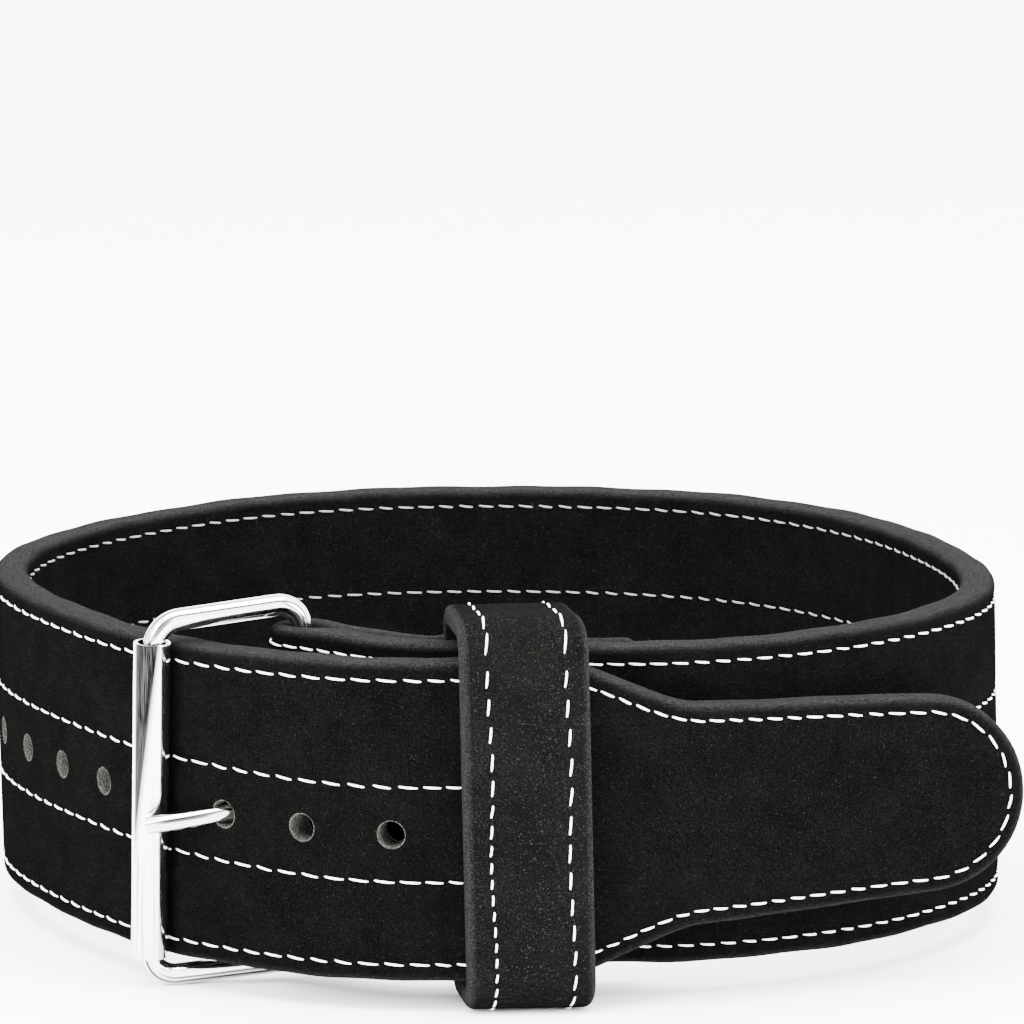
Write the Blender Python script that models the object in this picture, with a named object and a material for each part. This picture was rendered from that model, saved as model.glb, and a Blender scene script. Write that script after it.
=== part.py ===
"""A leather weightlifting belt with a roller buckle, fastened and standing on its edge.

The strap is one long band. It is modelled flat, as it is cut from the hide, with its rounded edges and its
punched holes. It is then bent along its path: the free tongue in front, round the waist, back under the
tongue, round the buckle's inner bar and on as the riveted flap. The keeper loop is bent by the same rule.
Lengths are in metres.
"""

import math

import bmesh
import bpy
import numpy as np
from mathutils import Matrix, Vector

# Leather band
STRAP_WIDTH = 0.1022
STRAP_THICKNESS = 0.0115
FOLD_THICKNESS = 0.006
EDGE_ROUND = 0.0024

# Loop round the waist, measured over the band's outer face
LOOP_WIDTH = 0.3295
LOOP_DEPTH = 0.3135

# Where the two ends lie over each other
FOLD_GAP = 0.0125
KEEPER_GAP = 0.0075
GAP_EASE_LENGTH = 0.065
LAYER_RISE = 0.0034
RISE_LENGTH = 0.150
EASE_LENGTH = 0.125
SEAT = 0.0003

# Tongue, measured from the roller to its tip
TONGUE_LENGTH = 0.2898
TONGUE_END_WIDTH = 0.063
TONGUE_NECK_WIDTH = 0.070
TONGUE_NECK_LENGTH = 0.104
TONGUE_SHOULDER_LENGTH = 0.052
TONGUE_TURN = math.radians(17)
TONGUE_TURN_LENGTH = 0.066
TONGUE_RETURN = math.radians(11)
TONGUE_RETURN_LENGTH = 0.065

# Punched holes along the middle of the band, which sinks from behind the roller to the keeper
CENTRE_DIP = 0.0038
CENTRE_DIP_START = 0.050
CENTRE_DIP_LENGTH = 0.150
HOLE_DIAMETER = 0.0087
HOLE_PITCH = 0.0302
HOLES_AHEAD = 2
HOLES_BEHIND = 6
PRONG_HOLE_REACH = 0.0255

# Buckle frame: a closed ring of round wire
WIRE_DIAMETER = 0.007
FRAME_ROOM = 0.0069
FRAME_HEIGHT = STRAP_WIDTH + 2 * FRAME_ROOM
FRAME_INNER_BEND = 0.0085
FRAME_OUTER_BEND = 0.0085
BAR_REACH = 0.0325
BAR_CLEARANCE = 0.0004
OUTER_BAR_DROP = 0.0034
OUTER_BAR_LEAN = 0.0068

# Roller on the outer bar
ROLLER_DIAMETER = 0.0118
ROLLER_WALL = 0.0012
ROLLER_PLAY = 0.0065
ROLLER_LENGTH = FRAME_HEIGHT - 2 * ROLLER_PLAY
ROLLER_LIFT = 0.0005
ROLLER_SLACK = 0.0004

# Prong
PRONG_DIAMETER = 0.0056
PRONG_PAST_ROLLER = 0.0025
PRONG_DROOP = 0.0060
PRONG_CLEARANCE = 0.0004
PRONG_STRAIGHT_SHARE = 0.86
EYE_TURN = math.radians(255)
EYE_SLOT_SIDE = 0.0035
EYE_SLOT_END = 0.0015

# Flap behind the buckle and its rivets
FLAP_LENGTH = 0.137
FLAP_CORNER = 0.004
FOLD_TAPER_LENGTH = 0.020
RIVET_COLUMNS = (0.0355, 0.1190)
RIVET_ROW_SPACING = 0.0335
RIVET_POST_DIAMETER = 0.0042
RIVET_CAP_DIAMETER = 0.0115
RIVET_CAP_HEIGHT = 0.0018
RIVET_CAP_RIM = 0.3
RIVET_HEAD_FLAT = 0.8
RIVET_HEAD_HEIGHT = 0.0010
RIVET_SEAT = 0.0006

# Keeper loop
KEEPER_WIDTH = 0.0398
KEEPER_WALL = 0.0075
KEEPER_ROOM = 0.0041
KEEPER_HEIGHT = STRAP_WIDTH + 2 * (KEEPER_WALL + KEEPER_ROOM)
KEEPER_BACK = 0.002
KEEPER_REACH = 0.0885
KEEPER_CORNER = 0.011
KEEPER_INNER_CORNER = 0.003
KEEPER_EDGE_ROUND = 0.0022
KEEPER_SKEW = 0.0085
KEEPER_RISE = 0.0025
KEEPER_EASE = 0.0045

# Outer face of the loop from above, as shares of half its width and half its depth. It starts at the
# roller and goes round to the right: along the front, up the right side and back by the left side.
LOOP_PLACES = (
    # place, across, back
    ("roller", -0.632, -0.700),
    ("front left", -0.418, -0.882),
    ("front", -0.205, -0.980),
    ("front middle", 0.026, -1.000),
    ("front right", 0.238, -0.998),
    ("under the tongue", 0.432, -0.957),
    ("right front corner", 0.633, -0.833),
    ("right front", 0.803, -0.667),
    ("right", 0.958, -0.437),
    ("right side", 1.000, -0.131),
    ("right side back", 0.936, 0.188),
    ("right back", 0.803, 0.501),
    ("right back corner", 0.560, 0.785),
    ("back right", 0.238, 0.945),
    ("back", -0.124, 1.000),
    ("back left", -0.476, 0.935),
    ("left back", -0.772, 0.715),
    ("left side back", -0.956, 0.430),
    ("left side", -0.999, 0.100),
    ("left", -0.909, -0.220),
    ("left front", -0.777, -0.490),
)

# Fineness
SPLINE_STEPS = 24
PATH_STEP = 0.0015
LONGEST_STRIP = 0.016
SHARPEST_STRIP = math.radians(9)
ROUND_SIDES = 16
OVERCUT = 0.004

# Finishes: base colour, roughness, metallic
FINISHES = {
    "black_suede": ((0.012, 0.012, 0.013), 0.95, 0.0),
    "black_keeper_suede": ((0.016, 0.016, 0.017), 0.95, 0.0),
    "nickel_wire": ((0.72, 0.72, 0.72), 0.16, 1.0),
    "nickel_tube": ((0.78, 0.78, 0.78), 0.12, 1.0),
    "nickel_rivet": ((0.66, 0.66, 0.66), 0.28, 1.0),
}


def clear_scene():
    for old in list(bpy.data.objects):
        bpy.data.objects.remove(old, do_unlink=True)


def new_collection(name):
    collection = bpy.data.collections.new(name)
    bpy.context.scene.collection.children.link(collection)
    return collection


def make_material(name):
    colour, roughness, metallic = FINISHES[name]
    material = bpy.data.materials.new(name)
    material.use_nodes = True
    shader = material.node_tree.nodes["Principled BSDF"]
    shader.inputs["Base Color"].default_value = (*colour, 1.0)
    shader.inputs["Roughness"].default_value = roughness
    shader.inputs["Metallic"].default_value = metallic
    return material


def smooth_step(value):
    value = np.clip(value, 0.0, 1.0)
    return value * value * (3 - 2 * value)


class Line:
    """A line seen from above, walked by its length."""

    def __init__(self, points, closed=False):
        self.points = np.array(points)
        if closed:
            self.points = np.vstack([self.points, self.points[:1]])
        steps = np.hypot(*np.diff(self.points, axis=0).T)
        self.lengths = np.concatenate([[0.0], np.cumsum(steps)])
        self.length = self.lengths[-1]
        self.closed = closed

    def at(self, place):
        if self.closed:
            place = np.mod(place, self.length)
        x = np.interp(place, self.lengths, self.points[:, 0])
        y = np.interp(place, self.lengths, self.points[:, 1])
        return np.stack([x, y], axis=-1)

    def heading(self, place):
        reach = PATH_STEP
        if self.closed:
            step = self.at(place + reach) - self.at(place - reach)
        else:
            step = self.at(np.minimum(place + reach, self.length)) - self.at(np.maximum(place - reach, 0.0))
        return step / np.linalg.norm(step, axis=-1, keepdims=True)


def loop_line():
    """The loop's outer face: one smooth closed curve through the named places."""
    half = np.array([LOOP_WIDTH / 2, LOOP_DEPTH / 2])
    places = np.array([row[1:] for row in LOOP_PLACES]) * half
    count = len(places)
    ahead = np.roll(places, -1, axis=0)
    behind = np.roll(places, 1, axis=0)
    matrix = 4 * np.eye(count) + np.roll(np.eye(count), 1, axis=0) + np.roll(np.eye(count), -1, axis=0)
    bend = np.linalg.solve(matrix, 6 * (ahead - 2 * places + behind))
    bend_ahead = np.roll(bend, -1, axis=0)
    points = []
    for index in range(count):
        for step in range(SPLINE_STEPS):
            t = step / SPLINE_STEPS
            near = (1 - t) * places[index] + ((1 - t) ** 3 - (1 - t)) * bend[index] / 6
            far = t * ahead[index] + (t ** 3 - t) * bend_ahead[index] / 6
            points.append(near + far)
    return Line(points, closed=True)


LOOP = loop_line()


def outward(heading):
    """The side of a line that faces away from the waist, for a line that runs to the right in front."""
    return np.stack([heading[..., 1], -heading[..., 0]], axis=-1)


def beside_loop(place, out):
    """A point beside the loop's outer face, at a length from the roller and a distance outward."""
    out = np.asarray(out)
    return LOOP.at(place) + outward(LOOP.heading(place)) * out[..., None]


def layer_gap(from_bar):
    """The air between the two ends. It narrows from the fold to the keeper."""
    return KEEPER_GAP + (FOLD_GAP - KEEPER_GAP) * (1 - smooth_step(from_bar / GAP_EASE_LENGTH))


def under_depth(from_bar):
    """How far the under layer's outer face lies below the loop's outer face."""
    return STRAP_THICKNESS + layer_gap(from_bar)


def layer_rise(from_bar):
    """The under layer stands a little higher at the fold."""
    return LAYER_RISE * (1 - smooth_step(from_bar / RISE_LENGTH))


def centre_dip(from_tip):
    """How low the middle of the band lies: its holes dip from behind the roller to the keeper."""
    return CENTRE_DIP * smooth_step((TONGUE_LENGTH + CENTRE_DIP_START - from_tip) / CENTRE_DIP_LENGTH)


# The buckle's bar and the keeper along the loop
BAR_RADIUS = WIRE_DIAMETER / 2
FOLD_INNER_RADIUS = BAR_RADIUS + BAR_CLEARANCE
FOLD_OUTER_RADIUS = FOLD_INNER_RADIUS + FOLD_THICKNESS
BAR_DEPTH = STRAP_THICKNESS + FOLD_GAP + FOLD_OUTER_RADIUS
BAR_PLACE = BAR_REACH
KEEPER_PLACE = BAR_PLACE + KEEPER_REACH
KEEPER_END = KEEPER_PLACE + KEEPER_WIDTH / 2 + KEEPER_SKEW + 2 * SEAT


def under_thickness(from_bar):
    """The band is one layer at the bar and reaches its full thickness further on."""
    return FOLD_THICKNESS + (STRAP_THICKNESS - FOLD_THICKNESS) * smooth_step(from_bar / FOLD_TAPER_LENGTH)


def flap_lift(from_bar):
    """How far the flap stands off the band: round the bar, flat on it, and over the keeper's back."""
    bar = (2 * FOLD_INNER_RADIUS - SEAT) * (1 - smooth_step(from_bar / FOLD_TAPER_LENGTH))
    from_keeper = np.abs(from_bar - KEEPER_REACH) - KEEPER_WIDTH / 2 - SEAT
    keeper = (KEEPER_BACK + SEAT) * (1 - smooth_step(from_keeper / KEEPER_EASE))
    return SEAT + bar + keeper


def tongue_rows():
    """The free tongue leaves the loop at the keeper and turns gently, so its tip stands off the band."""
    free = TONGUE_LENGTH - KEEPER_END
    count = max(2, int(round(free / PATH_STEP)))
    step = free / count
    start = LOOP.heading(KEEPER_END)
    angle = math.atan2(start[1], start[0])
    point = LOOP.at(KEEPER_END)
    rows = []
    for index in range(count):
        walked = (index + 0.5) * step
        turned = angle + TONGUE_TURN * float(smooth_step(walked / TONGUE_TURN_LENGTH))
        turned -= TONGUE_RETURN * float(smooth_step(1 - (free - walked) / TONGUE_RETURN_LENGTH))
        ahead = np.array([math.cos(turned), math.sin(turned)])
        point = point + step * ahead
        rows.append((*point, *(point - STRAP_THICKNESS * outward(ahead)), 0.0))
    rows.reverse()
    return rows


def loop_rows():
    """From the keeper back round the waist, then inward to lie under the tongue, as far as the bar."""
    last = BAR_PLACE - LOOP.length
    count = int(round((KEEPER_END - last) / PATH_STEP))
    rows = []
    for place in np.linspace(KEEPER_END, last, count + 1):
        from_bar = place - last
        past_keeper = from_bar - (KEEPER_END - BAR_PLACE)
        ease = float(smooth_step(1 - past_keeper / EASE_LENGTH))
        depth = float(under_depth(from_bar)) * ease
        outer = beside_loop(place, -depth)
        inner = beside_loop(place, -depth - float(under_thickness(from_bar)))
        rows.append((*outer, *inner, float(layer_rise(from_bar))))
    return rows


def fold_rows():
    """Half a turn round the inner bar."""
    centre = beside_loop(BAR_PLACE, -BAR_DEPTH)
    ahead = LOOP.heading(BAR_PLACE)
    out = outward(ahead)
    count = int(math.ceil(math.pi * FOLD_OUTER_RADIUS / PATH_STEP))
    rows = []
    for index in range(1, count):
        angle = math.pi * index / count
        away = math.cos(angle) * out - math.sin(angle) * ahead
        rows.append((*(centre + FOLD_OUTER_RADIUS * away), *(centre + FOLD_INNER_RADIUS * away), LAYER_RISE))
    return rows


def flap_rows():
    """From the bar back along the band's inner side."""
    count = int(round(FLAP_LENGTH / PATH_STEP))
    rows = []
    for from_bar in np.linspace(0.0, FLAP_LENGTH, count + 1):
        near = float(under_depth(from_bar) + under_thickness(from_bar) + flap_lift(from_bar))
        far = near + FOLD_THICKNESS
        place = BAR_PLACE + from_bar
        rows.append((*beside_loop(place, -far), *beside_loop(place, -near), float(layer_rise(from_bar))))
    return rows


class StrapPath:
    """Both faces of the band from tip to flap end, walked by the length of the outer face."""

    def __init__(self):
        tongue = tongue_rows()
        loop = loop_rows()
        fold = fold_rows()
        rows = np.array(tongue + loop + fold + flap_rows())
        self.line = Line(rows[:, :2])
        self.inner = rows[:, 2:4]
        self.rise = rows[:, 4]
        self.fold_middle = self.line.lengths[len(tongue) + len(loop) + len(fold) // 2]
        self.length = self.line.length
        self.roller = TONGUE_LENGTH

    def bend(self, along, depth, height):
        """Carries a point of the flat band to its place. Depth is a share of the thickness."""
        lengths = self.line.lengths
        outer = self.line.at(along)
        inner = np.array([np.interp(along, lengths, self.inner[:, side]) for side in (0, 1)])
        point = outer + (inner - outer) * depth
        return Vector((point[0], point[1], height + np.interp(along, lengths, self.rise)))

    def strip_places(self):
        """Lengths where the flat band is divided, so that it bends in short strips."""
        places = []
        last = 0.0
        last_heading = self.line.heading(0.0)
        for place in self.line.lengths[1:-1]:
            heading = self.line.heading(place)
            turn = math.acos(float(np.clip(np.dot(heading, last_heading), -1, 1)))
            if place - last > LONGEST_STRIP or turn > SHARPEST_STRIP:
                places.append(place)
                last = place
                last_heading = heading
        return places


PATH = StrapPath()


def half_width(from_tip):
    """Half the band's width: a round end, a slowly widening neck, and shoulders up to the full width."""
    end = TONGUE_END_WIDTH / 2
    neck = TONGUE_NECK_WIDTH / 2
    full = STRAP_WIDTH / 2
    if from_tip < end:
        return math.sqrt(max(0.0, end ** 2 - (end - from_tip) ** 2))
    if from_tip < TONGUE_NECK_LENGTH:
        return end + (neck - end) * (from_tip - end) / (TONGUE_NECK_LENGTH - end)
    shoulder = float(smooth_step((from_tip - TONGUE_NECK_LENGTH) / TONGUE_SHOULDER_LENGTH))
    return neck + (full - neck) * shoulder


def strap_outline():
    """The upper edge of the flat band, from the middle of its tip to the flap's end."""
    end = TONGUE_END_WIDTH / 2
    points = []
    tip_steps = 10
    for step in range(tip_steps):
        angle = math.radians(4) + (math.pi / 2 - math.radians(4)) * step / tip_steps
        points.append((end * (1 - math.cos(angle)), end * math.sin(angle)))
    widening = TONGUE_NECK_LENGTH + TONGUE_SHOULDER_LENGTH
    points.append((end, end))
    for place in np.linspace(TONGUE_NECK_LENGTH, widening, 9):
        points.append((float(place), half_width(float(place))))
    full = STRAP_WIDTH / 2
    for step in range(4):
        angle = math.pi / 2 * step / 3
        points.append((PATH.length - FLAP_CORNER * (1 - math.sin(angle)),
                       full - FLAP_CORNER * (1 - math.cos(angle))))
    return points


def flat_prism(outline, thickness, rounding, segments):
    """A plate with the given outline in X and Z, from Y = 0 back to -thickness, its rim edges rounded."""
    mesh = bmesh.new()
    rim = [mesh.verts.new((x, 0.0, z)) for x, z in outline]
    face = mesh.faces.new(rim)
    moved = bmesh.ops.extrude_face_region(mesh, geom=[face])
    far = [item for item in moved["geom"] if isinstance(item, bmesh.types.BMVert)]
    bmesh.ops.translate(mesh, verts=far, vec=(0.0, -thickness, 0.0))
    bmesh.ops.recalc_face_normals(mesh, faces=mesh.faces[:])
    rims = [edge for edge in mesh.edges if abs(edge.verts[0].co.y - edge.verts[1].co.y) < thickness / 2]
    bmesh.ops.bevel(mesh, geom=rims, offset=rounding, segments=segments, profile=0.5, affect="EDGES",
                    clamp_overlap=True)
    return mesh


def mesh_object(name, mesh, collection, material=None):
    data = bpy.data.meshes.new(name)
    mesh.to_mesh(data)
    mesh.free()
    obj = bpy.data.objects.new(name, data)
    collection.objects.link(obj)
    if material:
        data.materials.append(material)
    return obj


def hide_cutter(obj):
    obj.hide_render = True
    obj.display_type = "WIRE"


def rod(name, radius, start, end, collection, sides=ROUND_SIDES, end_radius=None):
    """A straight round rod, or a cone, from start to end."""
    start = Vector(start)
    end = Vector(end)
    mesh = bmesh.new()
    bmesh.ops.create_cone(mesh, cap_ends=True, segments=sides, radius1=radius,
                          radius2=radius if end_radius is None else end_radius, depth=(end - start).length)
    turn = (end - start).to_track_quat("Z", "Y").to_matrix().to_4x4()
    bmesh.ops.transform(mesh, matrix=Matrix.Translation((start + end) / 2) @ turn, verts=mesh.verts)
    return mesh_object(name, mesh, collection)


def baked(obj):
    """Turns an object's evaluated shape into its own mesh, with no modifiers left."""
    data = bpy.data.meshes.new_from_object(obj.evaluated_get(bpy.context.evaluated_depsgraph_get()))
    obj.modifiers.clear()
    obj.data = data
    return obj


def cut(obj, cutters):
    """Cuts each cutter out of the object."""
    for cutter in cutters:
        hide_cutter(cutter)
        boolean = obj.modifiers.new("cut_" + cutter.name, "BOOLEAN")
        boolean.operation = "DIFFERENCE"
        boolean.object = cutter
    bpy.context.view_layer.update()
    return baked(obj)


def wire(name, points, radius, closed, collection, material=None, sides_resolution=3):
    """A round wire along a poly curve, made a mesh."""
    curve = bpy.data.curves.new(name + "_curve", "CURVE")
    curve.dimensions = "3D"
    curve.bevel_depth = radius
    curve.bevel_resolution = sides_resolution
    curve.use_fill_caps = not closed
    spline = curve.splines.new("POLY")
    spline.points.add(len(points) - 1)
    for knot, point in zip(spline.points, points):
        knot.co = (*point, 1.0)
    spline.use_cyclic_u = closed
    guide = bpy.data.objects.new(name + "_guide", curve)
    collection.objects.link(guide)
    bpy.context.view_layer.update()
    data = bpy.data.meshes.new_from_object(guide.evaluated_get(bpy.context.evaluated_depsgraph_get()))
    mesh = bmesh.new()
    mesh.from_mesh(data)
    bmesh.ops.remove_doubles(mesh, verts=mesh.verts, dist=0.00001)
    bmesh.ops.recalc_face_normals(mesh, faces=mesh.faces[:])
    bpy.data.meshes.remove(data)
    bpy.data.objects.remove(guide, do_unlink=True)
    obj = mesh_object(name, mesh, collection, material)
    obj.data.shade_smooth()
    return obj


def hole_places():
    """Lengths from the tip of every punched hole. The prong goes through one of them."""
    prong = PATH.roller - PRONG_HOLE_REACH
    return [prong + HOLE_PITCH * step for step in range(-HOLES_AHEAD, HOLES_BEHIND + 1)]


def under_face(from_bar):
    """A point on the under layer's outer face."""
    return beside_loop(BAR_PLACE + from_bar, -under_depth(from_bar))


def rivet_axis(column, row):
    """A rivet's inner end, outer end and direction outward, square to flap and band."""
    from_bar = RIVET_COLUMNS[column]
    along = under_face(from_bar + PATH_STEP) - under_face(from_bar - PATH_STEP)
    out = outward(along / np.linalg.norm(along))
    across = float(np.dot(out, outward(LOOP.heading(BAR_PLACE + from_bar))))
    through = float(under_thickness(from_bar) + flap_lift(from_bar)) + FOLD_THICKNESS
    outer = under_face(from_bar)
    inner = outer - out * through * across
    height = float(layer_rise(from_bar)) + RIVET_ROW_SPACING * (1 - row)
    return Vector((*inner, height)), Vector((*outer, height)), Vector((*out, 0.0))


def frame_axes():
    """The middles of the frame's upright inner bar and leaning outer bar, and how the outer bar points."""
    inner = beside_loop(BAR_PLACE, -BAR_DEPTH)
    roller = beside_loop(0.0, SEAT + ROLLER_DIAMETER / 2)
    slack = (inner - roller) / np.linalg.norm(inner - roller) * ROLLER_SLACK
    outer = roller + slack
    lean = LOOP.heading(0.0) * OUTER_BAR_LEAN / FRAME_HEIGHT
    outer_height = LAYER_RISE - OUTER_BAR_DROP
    return Vector((*inner, LAYER_RISE)), Vector((*outer, outer_height)), Vector((*lean, 1.0))


def roller_axis():
    """The middle of the roller's axis. The tube hangs on the outer bar, pressed off the band."""
    _, outer, lean = frame_axes()
    roller = beside_loop(0.0, SEAT + ROLLER_DIAMETER / 2)
    return Vector((*roller, outer.z)) + lean * ROLLER_LIFT


def prong_line():
    """The prong's middle line in two runs: round the inner bar, then through the hole to the roller."""
    inner, outer, lean = frame_axes()
    roller = roller_axis() + lean * (-PRONG_DROOP - outer.z)
    eye_radius = BAR_RADIUS + BAR_CLEARANCE + PRONG_DIAMETER / 2
    hole_height = -float(centre_dip(TONGUE_LENGTH - PRONG_HOLE_REACH))
    hole = Vector((*beside_loop(PRONG_HOLE_REACH, SEAT + PRONG_DIAMETER / 2), hole_height))
    along = Vector((inner.x - outer.x, inner.y - outer.y, 0.0)).normalized()
    front = Vector((along.y, -along.x, 0.0))
    rest_height = ROLLER_DIAMETER / 2 + SEAT + PRONG_DIAMETER / 2
    tip = Vector((roller.x, roller.y, -PRONG_DROOP)) + front * rest_height - along * PRONG_PAST_ROLLER
    to_hole = Vector((hole.x - inner.x, hole.y - inner.y))
    leave = math.atan2(to_hole.y, to_hole.x) + math.acos(eye_radius / to_hole.length)
    turns = 10
    eye = []
    for step in range(turns + 1):
        angle = leave + EYE_TURN * (1 - step / turns)
        eye.append(inner + eye_radius * Vector((math.cos(angle), math.sin(angle), 0.0)))
    start = eye[-1]
    bend = start + (Vector((hole.x, hole.y, start.z)) - start) * PRONG_STRAIGHT_SHARE
    shaft = []
    steps = 8
    for step in range(1, steps + 1):
        t = step / steps
        curved = (1 - t) ** 2 * start + 2 * (1 - t) * t * hole + t ** 2 * tip
        point = start.lerp(bend, t).lerp(curved, float(smooth_step(t)))
        point.z = start.z + (tip.z - start.z) * t
        shaft.append(point)
    return eye, shaft


def make_strap(collection, cutters, material):
    upper = strap_outline()
    lower = [(x, -z) for x, z in reversed(upper)]
    plate = flat_prism(upper + lower, STRAP_THICKNESS, EDGE_ROUND, 2)
    strap = mesh_object("strap", plate, collection, material)
    punches = []
    for index, place in enumerate(hole_places()):
        height = -float(centre_dip(place))
        punches.append(rod(f"punch_{index + 1}", HOLE_DIAMETER / 2, (place, OVERCUT, height),
                           (place, -STRAP_THICKNESS - OVERCUT, height), cutters))
    strap = cut(strap, punches + [eye_slot(cutters)])
    shape = bmesh.new()
    shape.from_mesh(strap.data)
    for place in PATH.strip_places():
        geometry = shape.verts[:] + shape.edges[:] + shape.faces[:]
        bmesh.ops.bisect_plane(shape, geom=geometry, dist=0.00001, plane_co=(place, 0.0, 0.0),
                               plane_no=(1.0, 0.0, 0.0))
    bmesh.ops.triangulate(shape, faces=shape.faces[:])
    for vertex in shape.verts:
        vertex.co = PATH.bend(vertex.co.x, -vertex.co.y / STRAP_THICKNESS, vertex.co.z)
    shape.to_mesh(strap.data)
    shape.free()
    bores = []
    for index in range(2 * 3):
        inner, outer, out = rivet_axis(index // 3, index % 3)
        bores.append(rod(f"rivet_bore_{index + 1}", RIVET_POST_DIAMETER / 2 + SEAT, inner - out * OVERCUT,
                         outer + out * OVERCUT, cutters, sides=12))
    eye, shaft = prong_line()
    groove = wire("prong_groove", eye[-1:] + shaft, PRONG_DIAMETER / 2 + PRONG_CLEARANCE, False, cutters)
    strap = cut(strap, bores + [groove])
    strap.data.shade_smooth()
    strap.data.set_sharp_from_angle(angle=math.radians(40))
    return strap


def eye_slot(cutters):
    """The slot in the fold that the prong's eye sits in, as a rounded plate in the flat band."""
    radius = PRONG_DIAMETER / 2 + EYE_SLOT_SIDE
    past_bar = BAR_RADIUS + BAR_CLEARANCE + PRONG_DIAMETER + EYE_SLOT_END
    reach = math.pi / 2 * FOLD_OUTER_RADIUS + past_bar + radius
    outline = []
    for side in (1, -1):
        for step in range(7):
            angle = math.pi / 2 - math.pi * step / 6
            outline.append((PATH.fold_middle + side * (reach - radius + radius * math.cos(angle)),
                            side * radius * math.sin(angle)))
    mesh = bmesh.new()
    face = mesh.faces.new([mesh.verts.new((x, OVERCUT, z)) for x, z in outline])
    moved = bmesh.ops.extrude_face_region(mesh, geom=[face])
    far = [item for item in moved["geom"] if isinstance(item, bmesh.types.BMVert)]
    bmesh.ops.translate(mesh, verts=far, vec=(0.0, -STRAP_THICKNESS - 2 * OVERCUT, 0.0))
    bmesh.ops.recalc_face_normals(mesh, faces=mesh.faces[:])
    return mesh_object("eye_slot", mesh, cutters)


def rounded_corners(left, right, bottom, top, right_radius, steps, left_radius=None):
    """The points of a rectangle with round corners, going round once."""
    left_radius = left_radius or right_radius
    points = []
    corners = ((right, top, 0.0), (left, top, 0.5), (left, bottom, 1.0), (right, bottom, 1.5))
    for across, up, start in corners:
        radius = right_radius if across == right else left_radius
        centre_x = across - radius if across == right else across + radius
        centre_z = up - radius if up == top else up + radius
        for step in range(steps + 1):
            angle = math.pi * (start + 0.5 * step / steps)
            points.append((centre_x + radius * math.cos(angle), centre_z + radius * math.sin(angle)))
    return points


def make_keeper(collection, material):
    """A closed loop of thick leather: a rounded frame in depth and height, bent along the band."""
    front = SEAT + KEEPER_WALL
    inner_back = -(float(under_depth(KEEPER_REACH)) + STRAP_THICKNESS + SEAT)
    back = inner_back - KEEPER_BACK
    top = KEEPER_HEIGHT / 2 + KEEPER_RISE
    bottom = KEEPER_RISE - KEEPER_HEIGHT / 2
    corner_steps = 5
    outer = rounded_corners(back, front, bottom, top, KEEPER_CORNER, corner_steps)
    inner = rounded_corners(inner_back, SEAT, bottom + KEEPER_WALL, top - KEEPER_WALL, KEEPER_INNER_CORNER,
                            corner_steps)
    mesh = bmesh.new()
    rings = []
    for along in (-KEEPER_WIDTH / 2, KEEPER_WIDTH / 2):
        for profile in (outer, inner):
            rings.append([mesh.verts.new((along, out, height)) for out, height in profile])
    near_outer, near_inner, far_outer, far_inner = rings
    count = len(outer)
    for index in range(count):
        after = (index + 1) % count
        mesh.faces.new((near_outer[index], near_outer[after], near_inner[after], near_inner[index]))
        mesh.faces.new((far_outer[after], far_outer[index], far_inner[index], far_inner[after]))
        mesh.faces.new((near_outer[after], near_outer[index], far_outer[index], far_outer[after]))
        mesh.faces.new((near_inner[index], near_inner[after], far_inner[after], far_inner[index]))
    bmesh.ops.recalc_face_normals(mesh, faces=mesh.faces[:])
    rims = [edge for edge in mesh.edges if rim_edge(edge)]
    bmesh.ops.bevel(mesh, geom=rims, offset=min(KEEPER_EDGE_ROUND, KEEPER_BACK * 0.45), segments=2,
                    profile=0.5, affect="EDGES", clamp_overlap=True)
    strips = 5
    for strip in range(1, strips):
        place = KEEPER_WIDTH * (strip / strips - 0.5)
        bmesh.ops.bisect_plane(mesh, geom=mesh.verts[:] + mesh.edges[:] + mesh.faces[:], dist=0.00001,
                               plane_co=(place, 0.0, 0.0), plane_no=(1.0, 0.0, 0.0))
    for vertex in mesh.verts:
        lean = KEEPER_SKEW * (vertex.co.y - back) / (front - back)
        point = beside_loop(KEEPER_PLACE + lean + vertex.co.x, vertex.co.y)
        vertex.co = Vector((point[0], point[1], vertex.co.z))
    bmesh.ops.triangulate(mesh, faces=mesh.faces[:])
    bmesh.ops.recalc_face_normals(mesh, faces=mesh.faces[:])
    keeper = mesh_object("keeper_loop", mesh, collection, material)
    keeper.data.shade_smooth()
    keeper.data.set_sharp_from_angle(angle=math.radians(40))
    return keeper


def rim_edge(edge):
    """True for an edge between a wall of the keeper and one of its two open sides."""
    facing = [abs(face.normal.x) > 0.9 for face in edge.link_faces]
    return len(facing) == 2 and facing[0] != facing[1]


def frame_points():
    """The frame's middle line: a rectangle with round corners, leaning and lower at the outer bar."""
    inner, outer, lean = frame_axes()
    across = Vector((inner.x - outer.x, inner.y - outer.y, 0.0))
    width = across.length
    across.normalize()
    half = FRAME_HEIGHT / 2
    points = []
    for x, z in rounded_corners(0.0, width, -half, half, FRAME_INNER_BEND, 6, FRAME_OUTER_BEND):
        outer_share = 1 - x / width
        base = Vector((outer.x, outer.y, inner.z + (outer.z - inner.z) * outer_share)) + across * x
        points.append(base + Vector((lean.x * outer_share, lean.y * outer_share, 1.0)) * z)
    return points


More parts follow.
